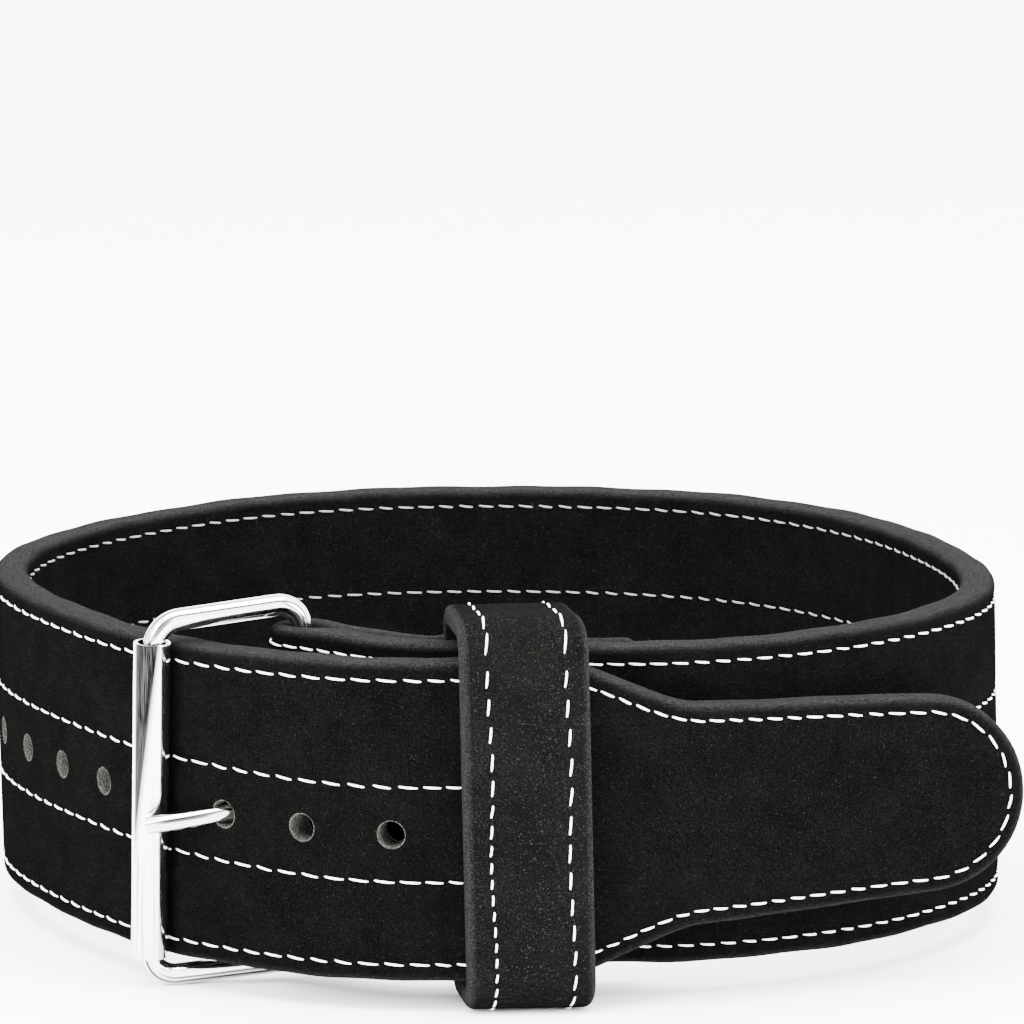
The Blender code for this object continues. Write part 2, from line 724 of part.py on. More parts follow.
def make_roller(collection, material):
    """A thin tube turned round its axis, with the object's origin on that axis."""
    _, _, lean = frame_axes()
    outer = ROLLER_DIAMETER / 2
    inner = outer - ROLLER_WALL
    half = ROLLER_LENGTH / 2
    mesh = bmesh.new()
    lip = ROLLER_WALL / 3
    profile = ((outer, half - lip), (outer - lip, half), (inner, half), (inner, -half), (outer - lip, -half),
               (outer, -half + lip))
    verts = [mesh.verts.new((radius, 0.0, height)) for radius, height in profile]
    edges = [mesh.edges.new((verts[index - 1], verts[index])) for index in range(len(verts))]
    bmesh.ops.spin(mesh, geom=verts + edges, cent=(0.0, 0.0, 0.0), axis=(0.0, 0.0, 1.0), angle=math.tau,
                   steps=2 * ROUND_SIDES, use_merge=True)
    bmesh.ops.remove_doubles(mesh, verts=mesh.verts, dist=0.00001)
    bmesh.ops.recalc_face_normals(mesh, faces=mesh.faces[:])
    roller = mesh_object("roller", mesh, collection, material)
    roller.location = roller_axis()
    roller.rotation_mode = "QUATERNION"
    roller.rotation_quaternion = lean.to_track_quat("Z", "Y")
    roller.data.shade_smooth()
    roller.data.set_sharp_from_angle(angle=math.radians(30))
    return roller


def make_rivet(index, collection, material):
    """A post with a domed cap on the flap's side and a thin head on the band's outer face."""
    inner, outer, out = rivet_axis(index // 3, index % 3)
    length = (outer - inner).length
    post = RIVET_POST_DIAMETER / 2
    cap = RIVET_CAP_DIAMETER / 2
    low = -RIVET_SEAT
    high = length + RIVET_SEAT
    rim = RIVET_CAP_RIM * RIVET_CAP_HEIGHT
    top = high + RIVET_HEAD_HEIGHT
    profile = [(0.0, top), (RIVET_HEAD_FLAT * cap, top), (cap, high), (post, high), (post, low), (cap, low)]
    for angle in (0, 30, 60, 90):
        turned = math.radians(angle)
        profile.append((cap * math.cos(turned), low - rim - (RIVET_CAP_HEIGHT - rim) * math.sin(turned)))
    mesh = bmesh.new()
    verts = [mesh.verts.new((radius, 0.0, height)) for radius, height in profile]
    edges = [mesh.edges.new((before, after)) for before, after in zip(verts, verts[1:])]
    bmesh.ops.spin(mesh, geom=verts + edges, cent=(0.0, 0.0, 0.0), axis=(0.0, 0.0, 1.0), angle=math.tau,
                   steps=ROUND_SIDES, use_merge=True)
    bmesh.ops.remove_doubles(mesh, verts=mesh.verts, dist=0.00001)
    bmesh.ops.recalc_face_normals(mesh, faces=mesh.faces[:])
    rivet = mesh_object(f"rivet_{index + 1}", mesh, collection, material)
    rivet.location = inner
    rivet.rotation_mode = "QUATERNION"
    rivet.rotation_quaternion = out.to_track_quat("Z", "Y")
    rivet.data.shade_smooth()
    rivet.data.set_sharp_from_angle(angle=math.radians(30))
    return rivet


def centre_on_origin(parts):
    """Moves the whole belt so that the origin is at the middle of its box's underside."""
    bpy.context.view_layer.update()
    corners = [part.matrix_world @ vertex.co for part in parts for vertex in part.data.vertices]
    low = Vector([min(corner[axis] for corner in corners) for axis in range(3)])
    high = Vector([max(corner[axis] for corner in corners) for axis in range(3)])
    shift = Vector(((low.x + high.x) / 2, (low.y + high.y) / 2, low.z))
    for part in parts:
        part.location -= shift


def main():
    clear_scene()
    belt = new_collection("weightlifting_belt")
    cutters = new_collection("cutters")
    finish = {name: make_material(name) for name in FINISHES}
    parts = [make_strap(belt, cutters, finish["black_suede"])]
    parts.append(make_keeper(belt, finish["black_keeper_suede"]))
    parts.append(wire("buckle_frame", frame_points(), WIRE_DIAMETER / 2, True, belt, finish["nickel_wire"]))
    parts.append(make_roller(belt, finish["nickel_tube"]))
    eye, shaft = prong_line()
    parts.append(wire("prong", eye + shaft, PRONG_DIAMETER / 2, False, belt, finish["nickel_wire"]))
    for index in range(2 * 3):
        parts.append(make_rivet(index, belt, finish["nickel_rivet"]))
    centre_on_origin(parts)


main()
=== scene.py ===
# %% [markdown]
# # A black leather weightlifting belt, fastened and standing on its edge
#
# The belt is one long suede band, sewn with four rows of white thread. It runs from a round tongue in front, round
# the waist, back under the tongue and round the inner bar of a tall buckle, where it is folded back and riveted.
# A thick leather keeper holds the tongue down. The frame that is loaded here is the solid model. Each cell below
# dresses one of its pieces with the surface, the sewing and the finish of the real thing.

# %% Open the frame
import math

import bmesh
import bpy
import numpy as np
from mathutils import Matrix, Vector


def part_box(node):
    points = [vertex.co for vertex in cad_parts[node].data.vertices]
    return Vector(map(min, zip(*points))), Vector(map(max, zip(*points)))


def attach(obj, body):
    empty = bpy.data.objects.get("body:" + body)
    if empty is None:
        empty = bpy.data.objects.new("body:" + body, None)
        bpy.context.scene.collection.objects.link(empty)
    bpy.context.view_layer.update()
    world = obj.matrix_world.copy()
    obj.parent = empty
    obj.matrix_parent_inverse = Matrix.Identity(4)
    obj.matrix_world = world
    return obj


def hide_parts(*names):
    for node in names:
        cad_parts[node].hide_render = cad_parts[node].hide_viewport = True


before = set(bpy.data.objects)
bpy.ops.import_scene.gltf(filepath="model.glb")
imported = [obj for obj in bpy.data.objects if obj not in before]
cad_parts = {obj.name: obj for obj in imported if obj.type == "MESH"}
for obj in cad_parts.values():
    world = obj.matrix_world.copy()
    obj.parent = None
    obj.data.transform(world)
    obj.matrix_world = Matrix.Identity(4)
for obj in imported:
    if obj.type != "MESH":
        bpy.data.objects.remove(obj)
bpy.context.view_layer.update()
MM = 0.001

# %% [markdown]
# ## The camera
#
# The photograph was taken from far away with a long lens, a little above the belt. The camera is placed by its
# distance, its rise over the floor and its small roll. It looks a little over the belt, which puts the belt in the
# lower half of the picture.

# %% Camera
CAMERA_TARGET = Vector((9.94, 7.5, 60.4)) * MM
CAMERA_DISTANCE = 2.625
CAMERA_RISE = math.radians(11.9)
CAMERA_LIFT = math.radians(1.49)
CAMERA_YAW = math.radians(0.07)
CAMERA_ROLL = math.radians(-1.31)
FOCAL_PIXELS = 7905
IMAGE_PIXELS = 1024
SENSOR = 36.0


def linked(name, data):
    """A new object, linked into the scene."""
    made = bpy.data.objects.new(name, data)
    bpy.context.scene.collection.objects.link(made)
    return made


camera = linked("camera", bpy.data.cameras.new("camera"))
back = Vector((0.0, -math.cos(CAMERA_RISE), math.sin(CAMERA_RISE)))
turn = (Matrix.Rotation(math.pi / 2 - CAMERA_RISE + CAMERA_LIFT, 4, "X")
        @ Matrix.Rotation(CAMERA_YAW, 4, "Y") @ Matrix.Rotation(CAMERA_ROLL, 4, "Z"))
camera.matrix_world = Matrix.Translation(CAMERA_TARGET + back * CAMERA_DISTANCE) @ turn
camera.data.sensor_width = SENSOR
camera.data.lens = SENSOR * FOCAL_PIXELS / IMAGE_PIXELS
camera.data.clip_end = 20.0
bpy.context.scene.camera = camera
print("camera lens", round(camera.data.lens, 1), "mm at", [round(value, 3) for value in camera.location])

# %% [markdown]
# ## Helpers for nodes
#
# Materials and geometry trees are both made of nodes. One function adds a node, sets its properties and fills its
# inputs, either with a value or with a link from another node's output. Colours are written as the eye knows them,
# in sRGB hex, and turned to the linear values that the renderer works with.

# %% Node and colour helpers


def add_node(tree, kind, inputs=None, **settings):
    made = tree.nodes.new(kind)
    for name, value in settings.items():
        setattr(made, name, value)
    for name, value in (inputs or {}).items():
        if isinstance(value, bpy.types.NodeSocket):
            tree.links.new(value, made.inputs[name])
        else:
            made.inputs[name].default_value = value
    return made


def maths(tree, operation, *values, **settings):
    """The result of a maths node, whose inputs are given in their order."""
    return add_node(tree, "ShaderNodeMath", dict(enumerate(values)), operation=operation, **settings).outputs[0]


def vector_maths(tree, operation, *values):
    made = add_node(tree, "ShaderNodeVectorMath", dict(enumerate(values)), operation=operation)
    return made.outputs["Value" if operation in ("LENGTH", "DOT_PRODUCT") else "Vector"]


def linear(colour):
    shares = [int(colour[place:place + 2], 16) / 255 for place in (1, 3, 5)]
    return (*[share / 12.92 if share <= 0.04045 else ((share + 0.055) / 1.055) ** 2.4 for share in shares], 1.0)


def fine_noise(tree, vector, size, detail=3.0, roughness=0.6):
    return add_node(tree, "ShaderNodeTexNoise", {"Vector": vector, "Scale": 1 / size, "Detail": detail,
                                                 "Roughness": roughness}).outputs["Fac"]


def ramp(tree, value, low, high, to_low=0.0, to_high=1.0):
    return add_node(tree, "ShaderNodeMapRange", {"Value": value, "From Min": low, "From Max": high,
                                                 "To Min": to_low, "To Max": to_high}).outputs["Result"]


def mix_colour(tree, share, first, second):
    mixed = add_node(tree, "ShaderNodeMix", data_type="RGBA")
    for socket, value in ((mixed.inputs[0], share), (mixed.inputs[6], first), (mixed.inputs[7], second)):
        if isinstance(value, bpy.types.NodeSocket):
            tree.links.new(value, socket)
        else:
            socket.default_value = value
    return mixed.outputs[2]


def attribute(tree, name, output="Fac"):
    return add_node(tree, "ShaderNodeAttribute", attribute_name=name).outputs[output]


def bumped(tree, shader, height, distance, strength):
    bump = add_node(tree, "ShaderNodeBump", {"Height": height, "Distance": distance, "Strength": strength})
    tree.links.new(bump.outputs["Normal"], shader.inputs["Normal"])


def new_material(name):
    material = bpy.data.materials.new(name)
    material.use_nodes = True
    tree = material.node_tree
    return material, tree, tree.nodes["Principled BSDF"]


print("white", linear("#ffffff"), "mid grey", [round(value, 3) for value in linear("#808080")])

# %% [markdown]
# ## Floor and light
#
# The photograph is a catalogue picture on white: large soft lights, no hard shadow. A white floor, a bright even sky
# and three big lamps give the same. In front, behind the camera, the sky is a dim room with bright upright panels:
# the belt's leather hardly sees them, but the polished buckle mirrors them as light and dark bands.

# %% Floor, sky and lamps
FLOOR_SIDE = 16.0
SKY_STRENGTH = 9.0
ROOM_SHARE = 0.10
PANEL_TURNS = 2.6
PANEL_EDGES = (0.46, 0.56)
BEHIND_FROM, BEHIND_TO = -0.25, 0.10
ABOVE_FROM, ABOVE_TO = 0.45, 0.75
LAMPS = (
    # name, place, size across and up, watts
    ("left softbox", (-1.6, -1.5, 1.1), (0.9, 1.6), 150.0),
    ("right softbox", (1.8, -1.2, 1.0), (0.8, 1.6), 120.0),
    ("top softbox", (0.0, -0.3, 2.0), (1.8, 1.6), 160.0),
)

floor_mesh = bpy.data.meshes.new("floor")
half = FLOOR_SIDE / 2
floor_mesh.from_pydata([(-half, -half, 0), (half, -half, 0), (half, half, 0), (-half, half, 0)], [], [(0, 1, 2, 3)])
floor = linked("floor", floor_mesh)
paper, tree, shader = new_material("white paper backdrop")
shader.inputs["Base Color"].default_value = linear("#fdfdfc")
shader.inputs["Roughness"].default_value = 0.9
floor_mesh.materials.append(paper)


def studio_sky():
    """White behind and above. In front a dim room with upright panels."""
    sky = bpy.data.worlds.new("white studio")
    sky.use_nodes = True
    tree = sky.node_tree
    way = add_node(tree, "ShaderNodeTexCoord").outputs["Generated"]
    parts = add_node(tree, "ShaderNodeSeparateXYZ", {"Vector": way}).outputs
    flat = add_node(tree, "ShaderNodeCombineXYZ", {"X": parts["X"], "Y": parts["Y"], "Z": 0.0}).outputs["Vector"]
    round_way = vector_maths(tree, "NORMALIZE", flat)
    panels = fine_noise(tree, round_way, 1 / PANEL_TURNS, detail=1.5)
    lit = ramp(tree, panels, *PANEL_EDGES, ROOM_SHARE, 1.0)
    behind = ramp(tree, parts["Y"], BEHIND_FROM, BEHIND_TO)
    above = ramp(tree, parts["Z"], ABOVE_FROM, ABOVE_TO)
    share = maths(tree, "MAXIMUM", lit, maths(tree, "MAXIMUM", behind, above))
    strength = maths(tree, "MULTIPLY", share, SKY_STRENGTH)
    tree.links.new(strength, tree.nodes["Background"].inputs["Strength"])
    tree.nodes["Background"].inputs["Color"].default_value = linear("#ffffff")
    return sky


bpy.context.scene.world = studio_sky()

for name, place, size, watts in LAMPS:
    lamp = bpy.data.lights.new(name, "AREA")
    lamp.shape = "RECTANGLE"
    lamp.size, lamp.size_y = size
    lamp.energy = watts
    holder = linked(name, lamp)
    holder.location = place
    holder.rotation_mode = "QUATERNION"
    holder.rotation_quaternion = (CAMERA_TARGET - Vector(place)).to_track_quat("-Z", "Y")
print("lamps", [name for name, *_ in LAMPS])

# %% [markdown]
# ## The band's path
#
# A belt is cut flat and then bent, and the model does the same. The path is two lines seen from above, one for each
# face of the band: the tongue, the loop round the waist, the fold round the buckle's bar and the flap. A point of
# the flat band is given by its length from the tongue's tip, its share of the thickness and its height.

# %% Sizes of the band, as in the solid model
STRAP_WIDTH = 102.2 * MM
STRAP_THICKNESS = 11.5 * MM
FOLD_THICKNESS = 6 * MM
LOOP_WIDTH = 329.5 * MM
LOOP_DEPTH = 313.5 * MM
FOLD_GAP = 12.5 * MM
KEEPER_GAP = 7.5 * MM
GAP_EASE_LENGTH = 65 * MM
LAYER_RISE = 3.4 * MM
RISE_LENGTH = 150 * MM
EASE_LENGTH = 125 * MM
SEAT = 0.3 * MM
TONGUE_LENGTH = 289.8 * MM
TONGUE_END_WIDTH = 63 * MM
TONGUE_NECK_WIDTH = 70 * MM
TONGUE_NECK_LENGTH = 104 * MM
TONGUE_SHOULDER_LENGTH = 52 * MM
TONGUE_TURN = math.radians(17)
TONGUE_TURN_LENGTH = 66 * MM
TONGUE_RETURN = math.radians(11)
TONGUE_RETURN_LENGTH = 65 * MM
HOLE_DIAMETER = 8.7 * MM
CENTRE_DIP = 3.8 * MM
CENTRE_DIP_START = 50 * MM
CENTRE_DIP_LENGTH = 150 * MM
FLAP_LENGTH = 137 * MM
FLAP_CORNER = 4 * MM
FOLD_TAPER_LENGTH = 20 * MM
KEEPER_WIDTH = 39.8 * MM
KEEPER_WALL = 7.5 * MM
KEEPER_HEIGHT = STRAP_WIDTH + 2 * (KEEPER_WALL + 4.1 * MM)
KEEPER_BACK = 2 * MM
KEEPER_REACH = 88.5 * MM
KEEPER_SKEW = 8.5 * MM
KEEPER_RISE = 2.5 * MM
KEEPER_EASE = 4.5 * MM
BAR_REACH = 32.5 * MM
BAR_CLEARANCE = 0.4 * MM
WIRE_DIAMETER = 7 * MM
PATH_STEP = 1 * MM
SPLINE_STEPS = 36
LOOP_PLACES = (
    # place, across, back: shares of half the width and half the depth of the loop
    ("roller", -0.632, -0.700),
    ("front left", -0.418, -0.882),
    ("front", -0.205, -0.980),
    ("front middle", 0.026, -1.000),
    ("front right", 0.238, -0.998),
    ("under the tongue", 0.432, -0.957),
    ("right front corner", 0.633, -0.833),
    ("right front", 0.803, -0.667),
    ("right", 0.958, -0.437),
    ("right side", 1.000, -0.131),
    ("right side back", 0.936, 0.188),
    ("right back", 0.803, 0.501),
    ("right back corner", 0.560, 0.785),
    ("back right", 0.238, 0.945),
    ("back", -0.124, 1.000),
    ("back left", -0.476, 0.935),
    ("left back", -0.772, 0.715),
    ("left side back", -0.956, 0.430),
    ("left side", -0.999, 0.100),
    ("left", -0.909, -0.220),
    ("left front", -0.777, -0.490),
)
print("places on the loop", len(LOOP_PLACES))

# %% The loop as a smooth closed line


def smooth_step(value):
    value = np.clip(value, 0.0, 1.0)
    return value * value * (3 - 2 * value)


class Line:
    """A line seen from above, walked by its length."""

    def __init__(self, points, closed=False):
        self.points = np.array(points)
        if closed:
            self.points = np.vstack([self.points, self.points[:1]])
        self.lengths = np.concatenate([[0.0], np.cumsum(np.hypot(*np.diff(self.points, axis=0).T))])
        self.length = self.lengths[-1]
        self.closed = closed

    def at(self, place):
        place = np.mod(place, self.length) if self.closed else place
        return np.stack([np.interp(place, self.lengths, self.points[:, axis]) for axis in (0, 1)], axis=-1)

    def heading(self, place):
        if self.closed:
            step = self.at(place + PATH_STEP) - self.at(place - PATH_STEP)
        else:
            step = self.at(np.minimum(place + PATH_STEP, self.length)) - self.at(np.maximum(place - PATH_STEP, 0.0))
        return step / np.linalg.norm(step, axis=-1, keepdims=True)


def loop_line():
    places = np.array([row[1:] for row in LOOP_PLACES]) * np.array([LOOP_WIDTH / 2, LOOP_DEPTH / 2])
    one = np.eye(len(places))
    ahead, behind = np.roll(places, -1, axis=0), np.roll(places, 1, axis=0)
    bends = np.linalg.solve(4 * one + np.roll(one, 1, axis=0) + np.roll(one, -1, axis=0),
                            6 * (ahead - 2 * places + behind))
    points = []
    for index in range(len(places)):
        for t in np.arange(SPLINE_STEPS) / SPLINE_STEPS:
            near = (1 - t) * places[index] + ((1 - t) ** 3 - (1 - t)) * bends[index] / 6
            far = t * ahead[index] + (t ** 3 - t) * np.roll(bends, -1, axis=0)[index] / 6
            points.append(near + far)
    return Line(points, closed=True)


def outward(heading):
    return np.stack([heading[..., 1], -heading[..., 0]], axis=-1)


def beside_loop(place, out):
    return LOOP.at(place) + outward(LOOP.heading(place)) * np.asarray(out)[..., None]


LOOP = loop_line()
print("loop length", round(LOOP.length / MM), "mm")

# %% The four stretches of the path
BAR_RADIUS = WIRE_DIAMETER / 2
FOLD_INNER_RADIUS = BAR_RADIUS + BAR_CLEARANCE
FOLD_OUTER_RADIUS = FOLD_INNER_RADIUS + FOLD_THICKNESS
BAR_DEPTH = STRAP_THICKNESS + FOLD_GAP + FOLD_OUTER_RADIUS
KEEPER_PLACE = BAR_REACH + KEEPER_REACH
KEEPER_END = KEEPER_PLACE + KEEPER_WIDTH / 2 + KEEPER_SKEW + 2 * SEAT


def under_depth(from_bar):
    """How far the under layer's outer face lies below the loop's outer face."""
    gap = KEEPER_GAP + (FOLD_GAP - KEEPER_GAP) * (1 - smooth_step(from_bar / GAP_EASE_LENGTH))
    return STRAP_THICKNESS + gap


def under_thickness(from_bar):
    return FOLD_THICKNESS + (STRAP_THICKNESS - FOLD_THICKNESS) * smooth_step(from_bar / FOLD_TAPER_LENGTH)


def layer_rise(from_bar):
    """The under layer stands a little higher at the fold."""
    return LAYER_RISE * (1 - smooth_step(from_bar / RISE_LENGTH))


def centre_dip(from_tip):
    """How low the middle of the band lies: its holes and inner rows dip from the roller to the keeper."""
    return CENTRE_DIP * smooth_step((TONGUE_LENGTH + CENTRE_DIP_START - from_tip) / CENTRE_DIP_LENGTH)


def flap_lift(from_bar):
    bar = (2 * FOLD_INNER_RADIUS - SEAT) * (1 - smooth_step(from_bar / FOLD_TAPER_LENGTH))
    from_keeper = np.abs(from_bar - KEEPER_REACH) - KEEPER_WIDTH / 2 - SEAT
    return SEAT + bar + (KEEPER_BACK + SEAT) * (1 - smooth_step(from_keeper / KEEPER_EASE))


def tongue_rows():
    free = TONGUE_LENGTH - KEEPER_END
    count = int(round(free / PATH_STEP))
    walked = (np.arange(count) + 0.5) * free / count
    start = LOOP.heading(KEEPER_END)
    turned = (math.atan2(start[1], start[0]) + TONGUE_TURN * smooth_step(walked / TONGUE_TURN_LENGTH)
              - TONGUE_RETURN * smooth_step(1 - (free - walked) / TONGUE_RETURN_LENGTH))
    ahead = np.stack([np.cos(turned), np.sin(turned)], axis=-1)
    points = LOOP.at(KEEPER_END) + np.cumsum(ahead * free / count, axis=0)
    rows = np.hstack([points, points - STRAP_THICKNESS * outward(ahead), np.zeros((count, 1))])
    return rows[::-1]


def loop_rows():
    last = BAR_REACH - LOOP.length
    places = np.linspace(KEEPER_END, last, int(round((KEEPER_END - last) / PATH_STEP)) + 1)
    from_bar = places - last
    depth = under_depth(from_bar) * smooth_step(1 - (from_bar - (KEEPER_END - BAR_REACH)) / EASE_LENGTH)
    return np.hstack([beside_loop(places, -depth), beside_loop(places, -depth - under_thickness(from_bar)),
                      layer_rise(from_bar)[:, None]])


def fold_rows():
    centre = beside_loop(BAR_REACH, -BAR_DEPTH)
    ahead = LOOP.heading(BAR_REACH)
    count = int(math.ceil(math.pi * FOLD_OUTER_RADIUS / PATH_STEP))
    angles = (math.pi * np.arange(1, count) / count)[:, None]
    away = np.cos(angles) * outward(ahead) - np.sin(angles) * ahead
    return np.hstack([centre + FOLD_OUTER_RADIUS * away, centre + FOLD_INNER_RADIUS * away,
                      np.full((count - 1, 1), LAYER_RISE)])


def flap_rows():
    from_bar = np.linspace(0.0, FLAP_LENGTH, int(round(FLAP_LENGTH / PATH_STEP)) + 1)
    near = under_depth(from_bar) + under_thickness(from_bar) + flap_lift(from_bar)
    return np.hstack([beside_loop(BAR_REACH + from_bar, -near - FOLD_THICKNESS),
                      beside_loop(BAR_REACH + from_bar, -near), layer_rise(from_bar)[:, None]])


stretches = [tongue_rows(), loop_rows(), fold_rows(), flap_rows()]
rows = np.vstack(stretches)
OUTER = Line(rows[:, :2])
FOLD_START = OUTER.lengths[len(stretches[0]) + len(stretches[1])]
FLAP_START = OUTER.lengths[len(stretches[0]) + len(stretches[1]) + len(stretches[2])]
print("band length", round(OUTER.length / MM), "mm, fold at", round(FOLD_START / MM), "mm")

# %% Bend a flat point to its place
ROLLER_DIAMETER = 11.8 * MM
roller_middle = (np.array(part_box("roller")[0]) + np.array(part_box("roller")[1])) / 2
PLACE = np.array([*(roller_middle[:2] - beside_loop(0.0, SEAT + ROLLER_DIAMETER / 2)),
                  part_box("strap")[0][2] + STRAP_WIDTH / 2])


def faces_at(along):
    outer = OUTER.at(along)
    inner = np.stack([np.interp(along, OUTER.lengths, rows[:, axis]) for axis in (2, 3)], axis=-1)
    return outer, inner


def bend(along, share, height, lift=0.0):
    """Carries points of the flat band to the belt. Lift is a distance off the outer face, or off the inner one."""
    outer, inner = faces_at(along)
    across = outer - inner
    across /= np.linalg.norm(across, axis=-1, keepdims=True)
    flat = outer + (inner - outer) * np.asarray(share)[..., None]
    side = np.where(np.asarray(share) < 0.5, 1.0, -1.0)
    flat = flat + across * (side * lift)[..., None]
    rise = np.interp(along, OUTER.lengths, rows[:, 4])
    return np.column_stack([flat, height + rise]) + PLACE


def around_loop(place, out, height):
    """A point beside the loop's outer face, for what isn't part of the band."""
    flat = beside_loop(np.asarray(place), out)
    return np.column_stack([flat, np.asarray(height)]) + PLACE


print("band placed by", [round(value / MM, 2) for value in PLACE])

# %% [markdown]
# ## Suede, its cut edges and the other finishes
#
# Suede is hide split from the flesh side and buffed until fine fibres stand up. Dyed black it is nearly without
# gloss: light sinks between the fibres, and only a fine dusting of paler fibre ends shows. So its colour is a very
# dark base with small pale specks, rough all over. The cut edge of a belt is pressed and dyed. It is greyer, and it
# keeps fine lines along the band where the layers of hide meet. Where a hole is punched, the fibres are torn.

# %% Suede
SPECK_SIZE = 0.35 * MM
FIBRE_SIZE = 0.5 * MM
CLOUD_SIZE = 14 * MM
GROOVE_SIZE = 0.5 * MM
NAP_HEIGHT = 0.25 * MM
HOLE_PITCH = 30.2 * MM
HOLES_AHEAD = 2
HOLES_BEHIND = 6
PRONG_HOLE = TONGUE_LENGTH - 25.5 * MM
TORN_REACH = 0.35 * MM
NAP_STRENGTH = 0.6
GROOVE_SHARE = 0.5
ALONG_LAYERS = (0.05, 1.0, 1.0)
# where each noise starts and ends to show, and for the last three what it gives there
SPECKS = (0.42, 0.66)
FIBRE_ENDS = (0.72, 0.76)
LAYER_LINES = (0.35, 0.72)
EDGE_SPECKS = (0.46, 0.66)
TORN_SPECKS = (0.40, 0.62)
CLOUDS = (0.35, 0.7, 0.0, 0.5)
RAGGED_EDGE = (0.3, 0.7, 0.4, 1.3)
RAGGED_BRIM = (0.35, 0.6, 0.4, 1.2)


def hole_share(tree, flat):
    """One inside the punched holes and on their torn brims, from a flat point's distance to its nearest hole."""
    parts = add_node(tree, "ShaderNodeSeparateXYZ", {"Vector": flat}).outputs
    steps = maths(tree, "DIVIDE", maths(tree, "SUBTRACT", parts["X"], PRONG_HOLE), HOLE_PITCH)
    nearest = add_node(tree, "ShaderNodeClamp", {"Value": maths(tree, "ROUND", steps), "Min": -HOLES_AHEAD,
                                                 "Max": HOLES_BEHIND}).outputs["Result"]
    along = maths(tree, "MULTIPLY", maths(tree, "SUBTRACT", steps, nearest), HOLE_PITCH)
    up = maths(tree, "ADD", parts["Z"], attribute(tree, "dip"))
    away = add_node(tree, "ShaderNodeCombineXYZ", {"X": along, "Y": up}).outputs["Vector"]
    distance = vector_maths(tree, "LENGTH", away)
    return ramp(tree, distance, HOLE_DIAMETER / 2, HOLE_DIAMETER / 2 + TORN_REACH, 1.0, 0.0)


def suede(name, base, speck, fibre, fibre_share, punched):
    """Buffed black suede. The rim attribute turns it into cut edge, and in punched holes it is torn fibre."""
    material, tree, shader = new_material(name)
    place = add_node(tree, "ShaderNodeTexCoord").outputs["Object"]
    flat = attribute(tree, "flat", "Vector")
    cloud = fine_noise(tree, place, CLOUD_SIZE)
    speckle = fine_noise(tree, place, SPECK_SIZE, detail=2.0, roughness=0.8)
    dusted = mix_colour(tree, ramp(tree, speckle, *SPECKS), linear(base), linear(speck))
    clouded = mix_colour(tree, ramp(tree, cloud, *CLOUDS), dusted, linear(base))
    ends = ramp(tree, fine_noise(tree, place, FIBRE_SIZE, detail=1.0), *(end - fibre_share for end in FIBRE_ENDS))
    napped = mix_colour(tree, ends, clouded, linear(fibre))
    lines = fine_noise(tree, vector_maths(tree, "MULTIPLY", flat, ALONG_LAYERS), GROOVE_SIZE, 2.0, 0.7)
    edge = mix_colour(tree, ramp(tree, lines, *LAYER_LINES), linear("#050505"), linear("#161616"))
    edge = mix_colour(tree, ramp(tree, speckle, *EDGE_SPECKS), edge, linear("#2a2a29"))
    torn = mix_colour(tree, ramp(tree, speckle, *TORN_SPECKS), linear("#0c0c0c"), linear("#565653"))
    ragged = maths(tree, "MULTIPLY", attribute(tree, "rim"), ramp(tree, speckle, *RAGGED_EDGE), use_clamp=True)
    colour = mix_colour(tree, ragged, napped, edge)
    if punched:
        brim = maths(tree, "MULTIPLY", hole_share(tree, flat), ramp(tree, speckle, *RAGGED_BRIM), use_clamp=True)
        colour = mix_colour(tree, brim, colour, torn)
    tree.links.new(colour, shader.inputs["Base Color"])
    shader.inputs["Roughness"].default_value = 0.95
    shader.inputs["Specular IOR Level"].default_value = 0.0
    height = maths(tree, "ADD", speckle, ramp(tree, lines, 0.0, 1.0, 0.0, GROOVE_SHARE))
    bumped(tree, shader, height, NAP_HEIGHT, NAP_STRENGTH)
    return material


band_suede = suede("black buffed suede", "#020202", "#0d0d0c", "#1a1a19", 0.03, punched=True)
keeper_suede = suede("black coarse suede", "#030303", "#131312", "#222221", 0.06, punched=False)
print("suede", band_suede.name, keeper_suede.name)

# %% [markdown]
# ## Thread and plated metal
#
# The thread is thick bonded polyester, twisted and left white: a soft gloss, a little darker between the plies. On
# the waist side its colour is painted darker, as painted shade. The buckle is bent steel wire and rolled steel tube,
# polished lengthwise and plated with nickel, so it mirrors the studio; long light and dark streaks are also painted
# into its colour as painted reflections. The tube has a painted dark reflection band down its left side, which
# narrows towards the foot, with a painted bright line at its edge. The rivets are pressed and duller.

# %% Thread and nickel
PLY_SIZE = 0.5 * MM
WIPE_SIZE = 0.25 * MM
PAINTED_STREAK_SIZE = 0.9 * MM
PAINTED_BAND_SLOPE = 19.0
PLIES = (0.3, 0.65)
PLY_HEIGHT = 0.1 * MM
PLY_STRENGTH = 0.4
LENGTHWISE = (1.0, 1.0, 0.02)
WIPED_ROUGHNESS = (0.3, 0.8, 0.08, 0.20)
PAINTED_BAND_EDGE = (0.35, 0.65)
PAINTED_BRIGHT_LINE_EDGE = (0.80, 0.88, 1.0, 0.0)
PAINTED_BAND_WIPES = (0.44, 0.64)


def bonded_thread(name, dark, light):
    material, tree, shader = new_material(name)
    place = add_node(tree, "ShaderNodeTexCoord").outputs["Object"]
    plies = fine_noise(tree, place, PLY_SIZE)
    tree.links.new(mix_colour(tree, ramp(tree, plies, *PLIES), linear(dark), linear(light)),
                   shader.inputs["Base Color"])
    shader.inputs["Roughness"].default_value = 0.6
    bumped(tree, shader, plies, PLY_HEIGHT, PLY_STRENGTH)
    return material


